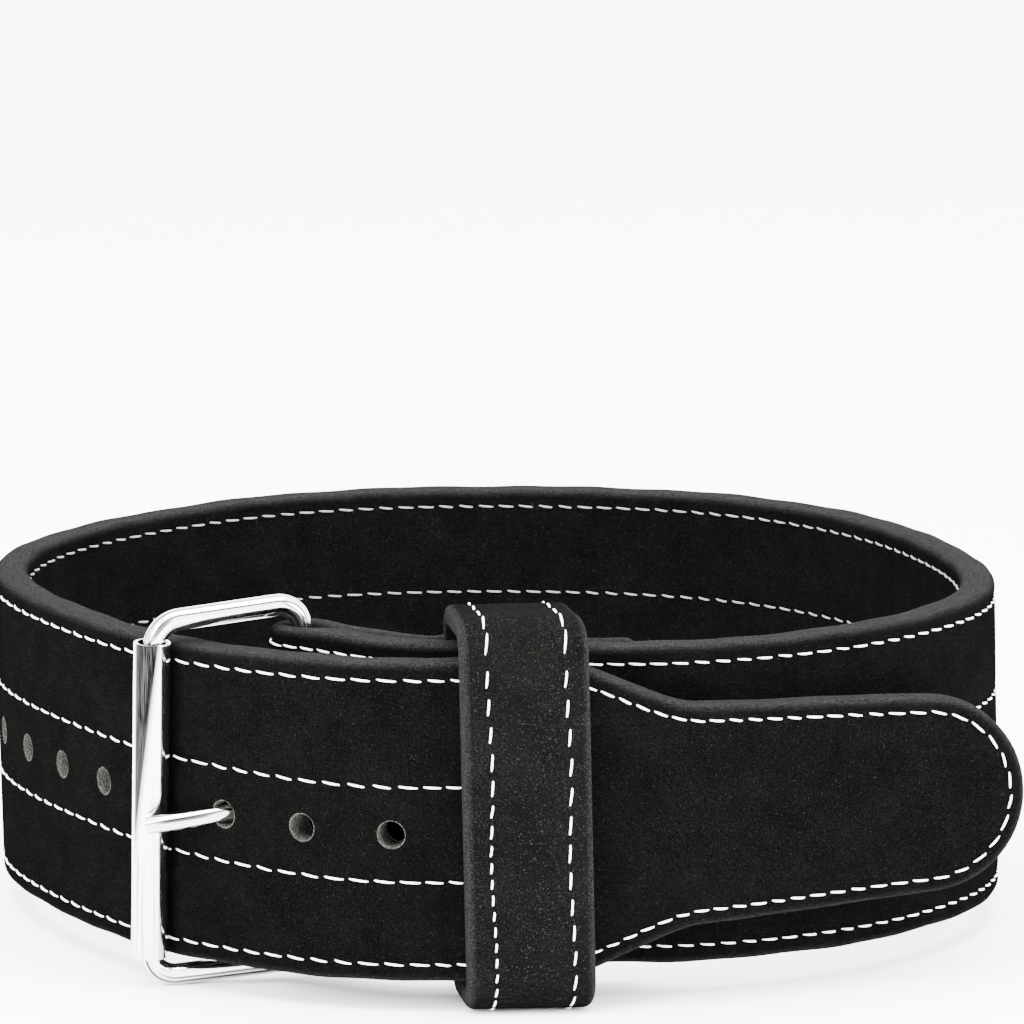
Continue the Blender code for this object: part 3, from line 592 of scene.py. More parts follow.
def nickel(name, bright, grey, lines):
    """Plated metal whose colour is streaked light and dark along the piece, as painted reflections. The flat
    attribute holds the place round and along it.
    """
    material, tree, shader = new_material(name)
    flat = attribute(tree, "flat", "Vector")
    stretched = vector_maths(tree, "MULTIPLY", flat, LENGTHWISE)
    wiping = fine_noise(tree, stretched, WIPE_SIZE)
    # painted reflection: light and dark streaks in the base colour
    colour = mix_colour(tree, ramp(tree, fine_noise(tree, stretched, PAINTED_STREAK_SIZE), *lines),
                        linear(grey), linear(bright))
    tree.links.new(colour, shader.inputs["Base Color"])
    shader.inputs["Metallic"].default_value = 1.0
    tree.links.new(ramp(tree, wiping, *WIPED_ROUGHNESS), shader.inputs["Roughness"])
    return material, tree, shader, flat, wiping, colour


def painted_reflection_band(metal, dark, grey):
    """Paints a dark reflection band into the metal's colour on its left side, as a painted reflection. The painted
    band narrows from the top down and leaves a painted bright line at the edge.
    """
    material, tree, shader, flat, wiping, colour = metal
    round_way = vector_maths(tree, "NORMALIZE", vector_maths(tree, "MULTIPLY", flat, (1.0, 1.0, 0.0)))
    left = vector_maths(tree, "DOT_PRODUCT", round_way, (-1.0, 0.0, 0.0))
    high = vector_maths(tree, "DOT_PRODUCT", flat, (0.0, 0.0, PAINTED_BAND_SLOPE))
    reach = maths(tree, "ADD", left, high)
    # painted reflection: a dark band, with a bright line left at its edge
    share = maths(tree, "MULTIPLY", ramp(tree, reach, *PAINTED_BAND_EDGE), ramp(tree, left, *PAINTED_BRIGHT_LINE_EDGE))
    shaded = mix_colour(tree, ramp(tree, wiping, *PAINTED_BAND_WIPES), linear(dark), linear(grey))
    tree.links.new(mix_colour(tree, share, colour, shaded), shader.inputs["Base Color"])
    return material


white_thread = bonded_thread("white bonded polyester thread", "#cfcfcb", "#fdfdfb")
# painted shade: the waist-side rows get a darker grey thread colour for the shade inside the belt
shade_darkened_thread = bonded_thread("white thread dulled by wear", "#4e4e4c", "#767674")
# painted reflection: each metal's colour is streaked from grey to bright along the piece; the last numbers are where
# the streaks turn
wire_nickel = nickel("polished nickel wire", "#e4e3e0", "#2c2c2c", (0.42, 0.50))[0]
# painted reflection: the tube's colour gets a dark band down its left side and a bright line at its edge
tube_nickel = painted_reflection_band(nickel("polished nickel tube", "#e8e7e4", "#8a8a88", (0.34, 0.42)), "#060606", "#3a3a3a")
rivet_nickel = nickel("pressed nickel rivet", "#cfcfcd", "#6a6a68", (0.3, 0.5))[0]
print("metals", wire_nickel.name, tube_nickel.name, rivet_nickel.name)

# %% [markdown]
# ## The band
#
# The band is built flat as rows of points across it, close enough for a smooth bend. Its outline is a round tip, a
# neck that widens slowly, shoulders and a long even run. Round this outline goes a rim with two soft corners. The
# holes are punched while it is flat, and then every point is bent to its place.

# %% Outline of the flat band
RIM_ROUND = 2.6 * MM
RIM_FADE = 0.75
WELD = 0.01 * MM
SHARP_BEND = math.radians(50)
ROW_STEP = 2.2 * MM
TIP_ROWS = 16
COLUMNS = 36
CORNER_STEPS = 4
SEAM_INSET = 4.6 * MM
SEAM_SHARE = 0.944
SEAM_SINK = 0.35 * MM
SEAM_REACH = 2.6 * MM


def half_width(from_tip):
    end, neck, full = TONGUE_END_WIDTH / 2, TONGUE_NECK_WIDTH / 2, STRAP_WIDTH / 2
    from_tip = np.asarray(from_tip, dtype=float)
    tip = np.sqrt(np.clip(end ** 2 - (end - from_tip) ** 2, 0.0, None))
    middle = end + (neck - end) * (from_tip - end) / (TONGUE_NECK_LENGTH - end)
    shoulder = neck + (full - neck) * smooth_step((from_tip - TONGUE_NECK_LENGTH) / TONGUE_SHOULDER_LENGTH)
    return np.where(from_tip < end, tip, np.where(from_tip < TONGUE_NECK_LENGTH, middle, shoulder))


def seam_height(from_tip):
    """How high the outer row runs. Its place inside the edge grows a little where the band widens."""
    end = TONGUE_END_WIDTH / 2
    return end - SEAM_INSET + SEAM_SHARE * (half_width(from_tip) - end)


def upper_edge():
    """Points of the band's upper edge from the tip to the flap's end, and the way out at each."""
    end = TONGUE_END_WIDTH / 2
    angles = np.linspace(0.0, math.pi / 2, TIP_ROWS)[:-1]
    tip = np.column_stack([end * (1 - np.cos(angles)), end * np.sin(angles)])
    run = np.arange(end, OUTER.length - FLAP_CORNER, ROW_STEP)
    side = np.column_stack([run, half_width(run)])
    turns = np.linspace(0.0, math.pi / 2, CORNER_STEPS + 1)
    corner = np.column_stack([OUTER.length - FLAP_CORNER * (1 - np.sin(turns)),
                              STRAP_WIDTH / 2 - FLAP_CORNER * (1 - np.cos(turns))])
    points = np.vstack([tip, side, corner])
    ahead = np.gradient(points, axis=0)
    ahead /= np.linalg.norm(ahead, axis=1, keepdims=True)
    out = np.column_stack([-ahead[:, 1], ahead[:, 0]])
    out[0] = (-1.0, 0.0)
    out[-1] = (1.0, 0.0)
    return points, out


edge_points, edge_out = upper_edge()
print("rows along the band", len(edge_points))

# %% Rows, columns and rim of the flat band


def rim_profile(thickness):
    """How far in and how deep the rim's points lie, from the outer face to the inner face."""
    rounding = min(RIM_ROUND, 0.45 * thickness)
    turns = np.linspace(0.0, math.pi / 2, CORNER_STEPS + 1)
    inset = rounding * (1 - np.sin(turns))
    depth = rounding * (1 - np.cos(turns))
    middle = np.array([thickness / 2])
    return (np.concatenate([inset, [0.0], inset[::-1]]),
            np.concatenate([depth, middle, thickness - depth[::-1]]) / thickness)


def local_thickness(along):
    outer, inner = faces_at(np.asarray(along))
    return np.linalg.norm(outer - inner, axis=-1)


def column_shares(count):
    """Places across a row from -1 to 1."""
    return np.linspace(-1.0, 1.0, count + 1)


def flat_band():
    """The closed flat band as points (along, share of thickness, height) with a rim value, and its faces."""
    points, rims, faces = [], [], []

    def grid(rows_of_points, rows_of_rims, flip):
        start = len(points)
        width = len(rows_of_points[0])
        for row, marks in zip(rows_of_points, rows_of_rims):
            points.extend(row)
            rims.extend(marks)
        for row in range(len(rows_of_points) - 1):
            for column in range(width - 1):
                corner = start + row * width + column
                face = (corner, corner + 1, corner + width + 1, corner + width)
                faces.append(face[::-1] if flip else face)

    profiles = [rim_profile(float(thickness)) for thickness in local_thickness(edge_points[:, 0])]
    shares = column_shares(COLUMNS)
    for side in (0, 1):
        rows_of_points, rows_of_rims = [], []
        for point, out, (inset, share) in zip(edge_points, edge_out, profiles):
            inner = point - out * inset[0]
            rows_of_points.append([(inner[0], float(side), inner[1] * column) for column in shares])
            rows_of_rims.append([0.0] * len(shares))
        grid(rows_of_points, rows_of_rims, flip=side == 1)
    outline = list(zip(edge_points, edge_out, profiles))
    lower = [(point * (1, -1), out * (1, -1), profile) for point, out, profile in outline]
    last = edge_points[-1]
    ends = [(np.array([last[0], last[1] * column]), np.array([1.0, 0.0]), profiles[-1])
            for column in shares[::-1][1:-1]]
    ring = outline + ends + lower[::-1]
    rows_of_points, rows_of_rims = [], []
    for point, out, (inset, share) in ring:
        rows_of_points.append([(point[0] - out[0] * into, depth, point[1] - out[1] * into)
                               for into, depth in zip(inset, share)])
        rows_of_rims.append([float(value) for value in np.clip(1 - inset / (RIM_FADE * inset[0]), 0.0, 1.0)])
    grid(rows_of_points, rows_of_rims, flip=False)
    return np.array(points), np.array(rims), faces


flat_points, flat_rims, flat_faces = flat_band()
print("flat band", len(flat_points), "points", len(flat_faces), "faces")

# %% Punched holes and slots
PRONG_HOLE_REACH = TONGUE_LENGTH - PRONG_HOLE
HOLE_SIDES = 28
PRONG_DIAMETER = 5.6 * MM
EYE_SLOT_SIDE = 3.5 * MM
EYE_SLOT_END = 1.5 * MM
OVERCUT = 3 * MM
HOLES = [PRONG_HOLE + HOLE_PITCH * step for step in range(-HOLES_AHEAD, HOLES_BEHIND + 1)]


def store(mesh, name, kind, values):
    layer = mesh.attributes.get(name) or mesh.attributes.new(name, kind, "POINT")
    layer.data.foreach_set("vector" if kind == "FLOAT_VECTOR" else "value", np.asarray(values).ravel())


def plug(name, outline):
    """A prism through the flat band, with the given outline of (along, height) points."""
    mesh = bmesh.new()
    face = mesh.faces.new([mesh.verts.new((along, OVERCUT, height)) for along, height in outline])
    moved = bmesh.ops.extrude_face_region(mesh, geom=[face])
    far = [item for item in moved["geom"] if isinstance(item, bmesh.types.BMVert)]
    bmesh.ops.translate(mesh, verts=far, vec=(0.0, -STRAP_THICKNESS - 2 * OVERCUT, 0.0))
    bmesh.ops.recalc_face_normals(mesh, faces=mesh.faces[:])
    data = bpy.data.meshes.new(name)
    mesh.to_mesh(data)
    mesh.free()
    return linked(name, data)


def stadium(middle, reach, radius, sides, height=0.0):
    """A rounded slot's outline. With no reach it is a round hole."""
    turns = np.linspace(-math.pi / 2, math.pi / 2, sides // 2 + 1)
    ahead = [(middle + reach + radius * math.cos(turn), height + radius * math.sin(turn)) for turn in turns]
    behind = [(middle - reach - radius * math.cos(turn), height - radius * math.sin(turn)) for turn in turns]
    outline = ahead + behind
    return outline if reach else ahead + behind[1:-1]


def punched(points, rims, faces):
    """The flat band as an object, with its holes and the slot for the prong's eye."""
    data = bpy.data.meshes.new("flat band")
    data.from_pydata([(along, -share * STRAP_THICKNESS, height) for along, share, height in points], [], faces)
    store(data, "rim", "FLOAT", rims)
    shape = bmesh.new()
    shape.from_mesh(data)
    bmesh.ops.remove_doubles(shape, verts=shape.verts, dist=WELD)
    bmesh.ops.dissolve_degenerate(shape, edges=shape.edges, dist=WELD)
    bmesh.ops.recalc_face_normals(shape, faces=shape.faces[:])
    shape.to_mesh(data)
    shape.free()
    band = linked("strap_leather", data)
    middle = (FOLD_START + FLAP_START) / 2
    slot_radius = PRONG_DIAMETER / 2 + EYE_SLOT_SIDE
    slot_reach = math.pi / 2 * FOLD_OUTER_RADIUS + BAR_RADIUS + BAR_CLEARANCE + PRONG_DIAMETER + EYE_SLOT_END
    cutters = [plug(f"punch {index}", stadium(place, 0.0, HOLE_DIAMETER / 2, HOLE_SIDES, -float(centre_dip(place))))
               for index, place in enumerate(HOLES)]
    cutters.append(plug("eye slot", stadium(middle, slot_reach, slot_radius, HOLE_SIDES)))
    for cutter in cutters:
        knife = band.modifiers.new("punch", "BOOLEAN")
        knife.operation = "DIFFERENCE"
        knife.object = cutter
    bpy.context.view_layer.update()
    band.data = bpy.data.meshes.new_from_object(band.evaluated_get(bpy.context.evaluated_depsgraph_get()))
    band.modifiers.clear()
    for cutter in cutters:
        bpy.data.objects.remove(cutter, do_unlink=True)
    return band


band = punched(flat_points, flat_rims, flat_faces)
print("punched band", len(band.data.vertices), "points")

# %% [markdown]
# ## Give the band its life
#
# Sewing pulls the suede down a little along each row, and the rims stay a little uneven where they were cut and
# dyed. Both are added as small shifts off the face while a point's flat place is still known.

# %% Bend the band
INNER_ROW_HEIGHT = 15.2 * MM
INNER_ROWS_FROM = KEEPER_PLACE
RIM_WAVE = 0.25 * MM
RIM_WAVE_LENGTH = 37 * MM
RIM_WAVE_SHARE = 0.1
SECOND_WAVE = 2.7
ON_FACE = 0.02


def seam_distance(along, height):
    """How far a flat point is from the nearest row of stitches."""
    end = TONGUE_END_WIDTH / 2
    straight = np.abs(np.abs(height) - seam_height(along))
    tip = np.abs(np.hypot(end - along, height) - (end - SEAM_INSET))
    outer = np.where(along < end, tip, straight)
    inner = np.abs(np.abs(height + centre_dip(along)) - INNER_ROW_HEIGHT)
    return np.where(along > TONGUE_LENGTH - INNER_ROWS_FROM, np.minimum(outer, inner), outer)


def bend_band(band):
    shape = bmesh.new()
    shape.from_mesh(band.data)
    bmesh.ops.triangulate(shape, faces=[face for face in shape.faces if len(face.verts) > 4])
    shape.to_mesh(band.data)
    shape.free()
    flat = np.empty(len(band.data.vertices) * 3)
    band.data.vertices.foreach_get("co", flat)
    flat = flat.reshape(-1, 3)
    along, share, height = flat[:, 0], -flat[:, 1] / STRAP_THICKNESS, flat[:, 2]
    on_face = (share < ON_FACE) | (share > 1 - ON_FACE)
    sink = SEAM_SINK * smooth_step(1 - seam_distance(along, height) / SEAM_REACH) * on_face
    turns = along * math.tau / RIM_WAVE_LENGTH
    wave = RIM_WAVE * np.sin(turns) * np.sin(turns / SECOND_WAVE)
    near_rim = smooth_step((np.abs(height) - (1 - RIM_WAVE_SHARE) * half_width(along))
                           / (RIM_WAVE_SHARE * STRAP_WIDTH / 2))
    placed = bend(along, share, height + np.sign(height) * wave * near_rim, lift=-sink)
    store(band.data, "flat", "FLOAT_VECTOR", np.column_stack([along, share * STRAP_THICKNESS, height]))
    store(band.data, "dip", "FLOAT", centre_dip(along))
    band.data.vertices.foreach_set("co", placed.ravel())
    band.data.materials.clear()
    band.data.materials.append(band_suede)
    band.data.update()
    band.data.shade_smooth()
    band.data.set_sharp_from_angle(angle=SHARP_BEND)


bend_band(band)
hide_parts("strap")
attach(band, "belt")
print("band", [round(value / MM, 1) for value in band.dimensions])

# %% [markdown]
# ## The keeper
#
# The keeper is a strip of thick suede bent into a closed upright loop round both layers of the band. It is built
# as the band is: a strip with a soft rim, bent twice, first into the upright loop and then along the belt's curve.

# %% Keeper loop
KEEPER_RIM_ROUND = 2.8 * MM
KEEPER_RIM_SPREAD = 1.3
KEEPER_OUTER_CORNER = 11 * MM
KEEPER_INNER_CORNER = 3 * MM
KEEPER_COLUMNS = 14
KEEPER_CORNER_STEPS = 10
KEEPER_RUNS = (12, 40)
KEEPER_FRONT = SEAT + KEEPER_WALL
KEEPER_INSIDE = -(float(under_depth(KEEPER_REACH)) + STRAP_THICKNESS + SEAT)


def round_corners(low, high, bottom, top, radius):
    """The same number of points round a rectangle, whatever its size: corners and runs in turn."""
    points = []
    corners = ((high, top, 0.0), (low, top, 0.5), (low, bottom, 1.0), (high, bottom, 1.5))
    for index, (depth, height, start) in enumerate(corners):
        centre = np.array([depth - math.copysign(radius, depth - (low + high) / 2),
                           height - math.copysign(radius, height - (bottom + top) / 2)])
        turns = math.pi * (start + 0.5 * np.linspace(0.0, 1.0, KEEPER_CORNER_STEPS + 1))
        arc = centre + radius * np.column_stack([np.cos(turns), np.sin(turns)])
        points.extend(arc)
        after = corners[(index + 1) % 4]
        far = np.array([after[0] - math.copysign(radius, after[0] - (low + high) / 2),
                        after[1] - math.copysign(radius, after[1] - (bottom + top) / 2)])
        turned = math.pi * after[2]
        far = far + radius * np.array([math.cos(turned), math.sin(turned)])
        count = KEEPER_RUNS[index % 2]
        for step in range(1, count):
            points.append(arc[-1] + (far - arc[-1]) * step / count)
    return np.array(points)


def keeper_rings():
    half = KEEPER_HEIGHT / 2
    outer = round_corners(KEEPER_INSIDE - KEEPER_BACK, KEEPER_FRONT, -half, half, KEEPER_OUTER_CORNER)
    inner = round_corners(KEEPER_INSIDE, SEAT, -half + KEEPER_WALL, half - KEEPER_WALL, KEEPER_INNER_CORNER)
    return outer, inner


def keeper_point(across, depth, height):
    """Carries points of the upright loop to the belt. The front lies a little further along than the back."""
    lean = KEEPER_SKEW * (depth - KEEPER_INSIDE + KEEPER_BACK) / (KEEPER_FRONT - KEEPER_INSIDE + KEEPER_BACK)
    return around_loop(KEEPER_PLACE + lean + across, depth, height + KEEPER_RISE)


def make_keeper():
    outer, inner = keeper_rings()
    half = KEEPER_WIDTH / 2
    shares = np.linspace(-1.0, 1.0, KEEPER_COLUMNS + 1)
    across, depths, heights, rims, walked = [], [], [], [], []
    lengths = np.concatenate([[0.0], np.cumsum(np.hypot(*np.diff(outer, axis=0).T))])
    for near, far, length in zip(outer, inner, lengths):
        wall = float(np.hypot(*(near - far)))
        rounding = min(KEEPER_RIM_ROUND, 0.42 * wall)
        turns = np.linspace(0.0, math.pi / 2, CORNER_STEPS + 1)
        inset = rounding * (1 - np.sin(turns))
        deep = rounding * (1 - np.cos(turns)) / wall
        corner = [(half - into, down, 1 - into / rounding) for into, down in zip(inset, deep)]
        under = [(place, 1 - down, rim) for place, down, rim in corner]
        face = [(column * (half - rounding), 0.0, 0.0) for column in shares]
        section = face + corner[1:] + under[::-1] + [(place, 1.0, 0.0) for place, _, _ in face[::-1][1:]]
        section += [(-place, down, rim) for place, down, rim in under[1:] + corner[::-1][:-1]]
        for place, down, rim in section:
            point = near + (far - near) * down
            across.append(place)
            depths.append(point[0])
            heights.append(point[1])
            rims.append(min(1.0, rim * KEEPER_RIM_SPREAD))
            walked.append(length)
    width = len(section)
    count = len(outer)
    placed = keeper_point(np.array(across), np.array(depths), np.array(heights))
    faces = []
    for ring in range(count):
        for column in range(width):
            faces.append((ring * width + column, ((ring + 1) % count) * width + column,
                          ((ring + 1) % count) * width + (column + 1) % width, ring * width + (column + 1) % width))
    data = bpy.data.meshes.new("keeper_leather")
    data.from_pydata(placed.tolist(), [], faces)
    store(data, "rim", "FLOAT", rims)
    store(data, "flat", "FLOAT_VECTOR", np.column_stack([walked, depths, across]))
    shape = bmesh.new()
    shape.from_mesh(data)
    bmesh.ops.remove_doubles(shape, verts=shape.verts, dist=WELD)
    bmesh.ops.recalc_face_normals(shape, faces=shape.faces[:])
    shape.to_mesh(data)
    shape.free()
    data.materials.append(keeper_suede)
    data.shade_smooth()
    return linked("keeper_leather", data)


keeper = make_keeper()
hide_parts("keeper_loop")
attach(keeper, "belt")
print("keeper", [round(value / MM, 1) for value in keeper.dimensions])

# %% [markdown]
# ## Sewing
#
# A lockstitch shows as dashes of thread with small gaps where the thread dives through the leather. One dash is
# modelled, and a Geometry Nodes tree repeats it: it sets a dash at every point of each seam line, lays it along the
# seam and square to the suede, and turns and stretches each one a little by chance.

# %% One stitch
STITCH_PITCH = 8.2 * MM
STITCH_LENGTH = 6.9 * MM
THREAD_DIAMETER = 0.72 * MM
STITCH_DIVE = 0.9 * MM
THREAD_SIDES = 8
STITCH_RINGS = 7
STITCH_TAPER = 0.55
STITCH_LIFT = 0.55
STITCH_FLATNESS = 0.85
STRETCH_BY_CHANCE = 0.08


def stitch_object(name, length):
    """A short bowed thread along X, whose ends dive below the surface at Z = 0."""
    points, faces = [], []
    radius = THREAD_DIAMETER / 2
    for ring, share in enumerate(np.linspace(-1.0, 1.0, STITCH_RINGS)):
        dive = STITCH_DIVE * abs(share) ** 3
        thick = radius * (1 - STITCH_TAPER * abs(share) ** 3)
        for side in range(THREAD_SIDES):
            turned = math.tau * side / THREAD_SIDES
            points.append((share * length / 2, thick * math.cos(turned),
                           STITCH_LIFT * radius + thick * STITCH_FLATNESS * math.sin(turned) - dive))
        if ring:
            for side in range(THREAD_SIDES):
                after = (side + 1) % THREAD_SIDES
                start = (ring - 1) * THREAD_SIDES
                faces.append((start + side, start + THREAD_SIDES + side, start + THREAD_SIDES + after, start + after))
    faces.append(tuple(range(THREAD_SIDES)))
    faces.append(tuple(reversed(range((STITCH_RINGS - 1) * THREAD_SIDES, STITCH_RINGS * THREAD_SIDES))))
    data = bpy.data.meshes.new(name)
    data.from_pydata(points, [], faces)
    made = linked(name, data)
    made.hide_render = True
    return made


stitch = stitch_object("one stitch", STITCH_LENGTH)
print("stitch faces", len(stitch.data.polygons))

# %% A tree that repeats a piece along lines


def tree_input(tree, name, kind, value=None):
    socket = tree.interface.new_socket(name, in_out="INPUT", socket_type=kind)
    if value is not None:
        socket.default_value = value
    return socket.identifier


def sewing_tree():
    tree = bpy.data.node_groups.new("stitches along lines", "GeometryNodeTree")
    keys = {
        "lines": tree_input(tree, "Lines", "NodeSocketGeometry"),
        "piece": tree_input(tree, "Stitch", "NodeSocketObject"),
        "turn": tree_input(tree, "Turn by chance", "NodeSocketFloat", 0.0),
        "slant": tree_input(tree, "Slant", "NodeSocketFloat", 0.0),
        "seed": tree_input(tree, "Seed", "NodeSocketInt", 1),
        "material": tree_input(tree, "Material", "NodeSocketMaterial"),
    }
    tree.interface.new_socket("Stitches", in_out="OUTPUT", socket_type="NodeSocketGeometry")
    given = add_node(tree, "NodeGroupInput").outputs
    curve = add_node(tree, "GeometryNodeMeshToCurve", {"Mesh": given["Lines"]}).outputs["Curve"]
    normal = add_node(tree, "GeometryNodeInputNamedAttribute", {"Name": "face_way"}, data_type="FLOAT_VECTOR")
    tangent = add_node(tree, "GeometryNodeInputTangent").outputs["Tangent"]
    along = add_node(tree, "FunctionNodeAxesToRotation",
                     {"Primary Axis": normal.outputs["Attribute"], "Secondary Axis": tangent},
                     primary_axis="Z", secondary_axis="X").outputs["Rotation"]
    chance = add_node(tree, "FunctionNodeRandomValue", {"Min": -1.0, "Max": 1.0, "Seed": given["Seed"]},
                      data_type="FLOAT").outputs[1]
    turned = maths(tree, "MULTIPLY_ADD", chance, given["Turn by chance"], given["Slant"])
    euler = add_node(tree, "ShaderNodeCombineXYZ", {"Z": turned}).outputs["Vector"]
    spin = add_node(tree, "FunctionNodeEulerToRotation", {0: euler}).outputs[0]
    laid = add_node(tree, "FunctionNodeRotateRotation", {"Rotation": along, "Rotate By": spin},
                    rotation_space="LOCAL").outputs["Rotation"]
    pull = add_node(tree, "GeometryNodeInputNamedAttribute", {"Name": "stretch"}, data_type="FLOAT")
    stretch = maths(tree, "MULTIPLY_ADD", chance, STRETCH_BY_CHANCE, pull.outputs["Attribute"])
    size = add_node(tree, "ShaderNodeCombineXYZ", {"X": stretch, "Y": 1.0, "Z": 1.0}).outputs["Vector"]
    piece = add_node(tree, "GeometryNodeObjectInfo", {"Object": given["Stitch"]}).outputs["Geometry"]
    placed = add_node(tree, "GeometryNodeInstanceOnPoints",
                      {"Points": curve, "Instance": piece, "Rotation": laid, "Scale": size}).outputs["Instances"]
    whole = add_node(tree, "GeometryNodeRealizeInstances", {"Geometry": placed}).outputs["Geometry"]
    smooth = add_node(tree, "GeometryNodeSetShadeSmooth", {"Geometry": whole}).outputs["Geometry"]
    dressed = add_node(tree, "GeometryNodeSetMaterial", {"Geometry": smooth, "Material": given["Material"]})
    out = add_node(tree, "NodeGroupOutput")
    tree.links.new(dressed.outputs["Geometry"], out.inputs["Stitches"])
    return tree, keys


SEWING, SEWING_KEYS = sewing_tree()
print("sewing inputs", list(SEWING_KEYS))

# %% Turn a tree's result into a plain piece


def line_object(name, lines):
    """Open lines of points, each with the way off its face and a stretch for its stitches, as one mesh of edges."""
    points, ways, stretches, edges = [], [], [], []
    for places, out, stretch in lines:
        edges.extend((len(points) + step, len(points) + step + 1) for step in range(len(places) - 1))
        points.extend(places)
        ways.extend(out)
        stretches.extend(np.broadcast_to(stretch, len(places)))
    data = bpy.data.meshes.new(name)
    data.from_pydata([tuple(point) for point in points], edges, [])
    store(data, "face_way", "FLOAT_VECTOR", ways)
    store(data, "stretch", "FLOAT", stretches)
    return linked(name, data)


def grown(name, source, tree, keys, values):
    """Runs a geometry tree on an object and keeps its result as a plain mesh."""
    modifier = source.modifiers.new("tree", "NODES")
    modifier.node_group = tree
    for key, value in values.items():
        modifier[keys[key]] = value
    bpy.context.view_layer.update()
    data = bpy.data.meshes.new_from_object(source.evaluated_get(bpy.context.evaluated_depsgraph_get()))
    source.modifiers.clear()
    data.name = name
    made = linked(name, data)
    bpy.data.objects.remove(source, do_unlink=True)
    return made


def walked_by_pitch(places, ways, pitches):
    """Points along a line, each a local pitch after the last, with the way off the face and the stitch's stretch."""
    steps = np.linalg.norm(np.diff(places, axis=0), axis=1)
    turns = np.concatenate([[0.0], np.cumsum(steps * 2 / (pitches[1:] + pitches[:-1]))])
    wanted = (np.arange(int(turns[-1])) + 0.5) * turns[-1] / int(turns[-1])
    points, out = [np.column_stack([np.interp(wanted, turns, values[:, axis]) for axis in range(3)])
                   for values in (places, ways)]
    return points, out, np.interp(wanted, turns, pitches) / STITCH_PITCH


print("helpers ready")

# %% Seam lines on the band
LINE_STEP = 4 * MM
ROW_HEIGHTS = (INNER_ROW_HEIGHT, -INNER_ROW_HEIGHT)
FLAP_SEAM_INSET = 7 * MM
SEAM_TURN = math.radians(3)
SEAM_SLANT = math.radians(-6)


def on_band(along, side, height):
    """Points of a row on one face of the band, and the way off that face at each."""
    along, height = np.asarray(along, dtype=float), np.asarray(height, dtype=float)
    share = np.full(len(along), float(side))
    placed = bend(along, share, height)
    outer, inner = faces_at(along)
    way = (outer - inner) / np.linalg.norm(outer - inner, axis=-1, keepdims=True) * (1.0 if side == 0 else -1.0)
    return placed, np.column_stack([way, np.zeros(len(way))])


# along the band from the tip: closer stitches on the tongue and on the far side, longer ones near the buckle
PITCHES = (
    # distance from the tip, pitch
    (0 * MM, 6.9 * MM),
    (60 * MM, 6.9 * MM),
    (110 * MM, 6.0 * MM),
    (180 * MM, 5.9 * MM),
    (200 * MM, 8.4 * MM),
    (430 * MM, 8.7 * MM),
    (500 * MM, 7.0 * MM),
    (1400 * MM, 6.8 * MM),
)


def sewn(along, side, height):
    """A row of stitches on the band, each at the pitch of its place."""
    placed, ways = on_band(along, side, height)
    return walked_by_pitch(placed, ways, np.interp(along, *np.transpose(PITCHES)))


def edge_row(side, last):
    """The row that follows the outline: back along the upper edge, round the tip and out along the lower edge."""
    end = TONGUE_END_WIDTH / 2
    run = np.arange(end, last, LINE_STEP)
    turns = np.linspace(math.pi / 2, -math.pi / 2, 24)[1:-1]
    radius = end - SEAM_INSET
    along = np.concatenate([run[::-1], end - radius * np.cos(turns), run])
    height = np.concatenate([seam_height(run[::-1]), radius * np.sin(turns), -seam_height(run)])
    return sewn(along, side, height)


def seam_lines(side, last):
    """The four rows on one face of the band. The two inner rows start under the keeper."""
    along = np.arange(TONGUE_LENGTH - INNER_ROWS_FROM, last, LINE_STEP)
    return [edge_row(side, last)] + [sewn(along, side, height - centre_dip(along)) for height in ROW_HEIGHTS]


flap_end = OUTER.length - FLAP_SEAM_INSET
across = np.arange(-STRAP_WIDTH / 2 + SEAM_INSET, STRAP_WIDTH / 2 - SEAM_INSET, LINE_STEP)
outer_lines = seam_lines(0, flap_end) + [sewn(np.full(len(across), flap_end), 0, across)]
# the waist-side rows use the thread whose colour is darkened as painted shade
for name, lines, material in (("band_stitches", outer_lines, white_thread),
                              ("waist_stitches", seam_lines(1, FOLD_START), shade_darkened_thread)):
    thread = grown(name, line_object(name + " lines", lines), SEWING, SEWING_KEYS,
                   {"piece": stitch, "turn": SEAM_TURN, "slant": SEAM_SLANT, "seed": 3,
                    "material": material})
    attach(thread, "belt")
    print(name, len(thread.data.polygons), "faces")

# %% Seam lines on the keeper
KEEPER_SEAMS = (
    # side, inset from the edge, stitch pitch at each of the heights below
    (-1, 8.3 * MM, (8.8 * MM, 8.8 * MM, 7.2 * MM, 5.2 * MM, 4.8 * MM)),
    (1, 7.2 * MM, (9.2 * MM, 9.2 * MM, 9.2 * MM, 8.6 * MM, 7.4 * MM)),
)
PITCH_HEIGHTS = (60 * MM, 20 * MM, 5 * MM, -15 * MM, -60 * MM)
KEEPER_SEAM_WAVE = 0.5 * MM
KEEPER_WAVE_LENGTH = 0.6 * STRAP_WIDTH


def keeper_lines():
    outer, _ = keeper_rings()
    step = np.roll(outer, -1, axis=0) - np.roll(outer, 1, axis=0)
    out = np.column_stack([step[:, 1], -step[:, 0]])
    out /= np.linalg.norm(out, axis=1, keepdims=True)
    lines = []
    for side, inset, pitches in KEEPER_SEAMS:
        wave = KEEPER_SEAM_WAVE * np.sin(outer[:, 1] * math.tau / KEEPER_WAVE_LENGTH)
        across = side * (KEEPER_WIDTH / 2 - inset) + wave
        placed = keeper_point(across, outer[:, 0], outer[:, 1])
        beside = keeper_point(across, outer[:, 0] + out[:, 0] * MM, outer[:, 1] + out[:, 1] * MM)
        way = (beside - placed) / np.linalg.norm(beside - placed, axis=1, keepdims=True)
        local = np.interp(outer[:, 1], PITCH_HEIGHTS[::-1], pitches[::-1])
        lines.append(walked_by_pitch(placed, way, local))
    return lines


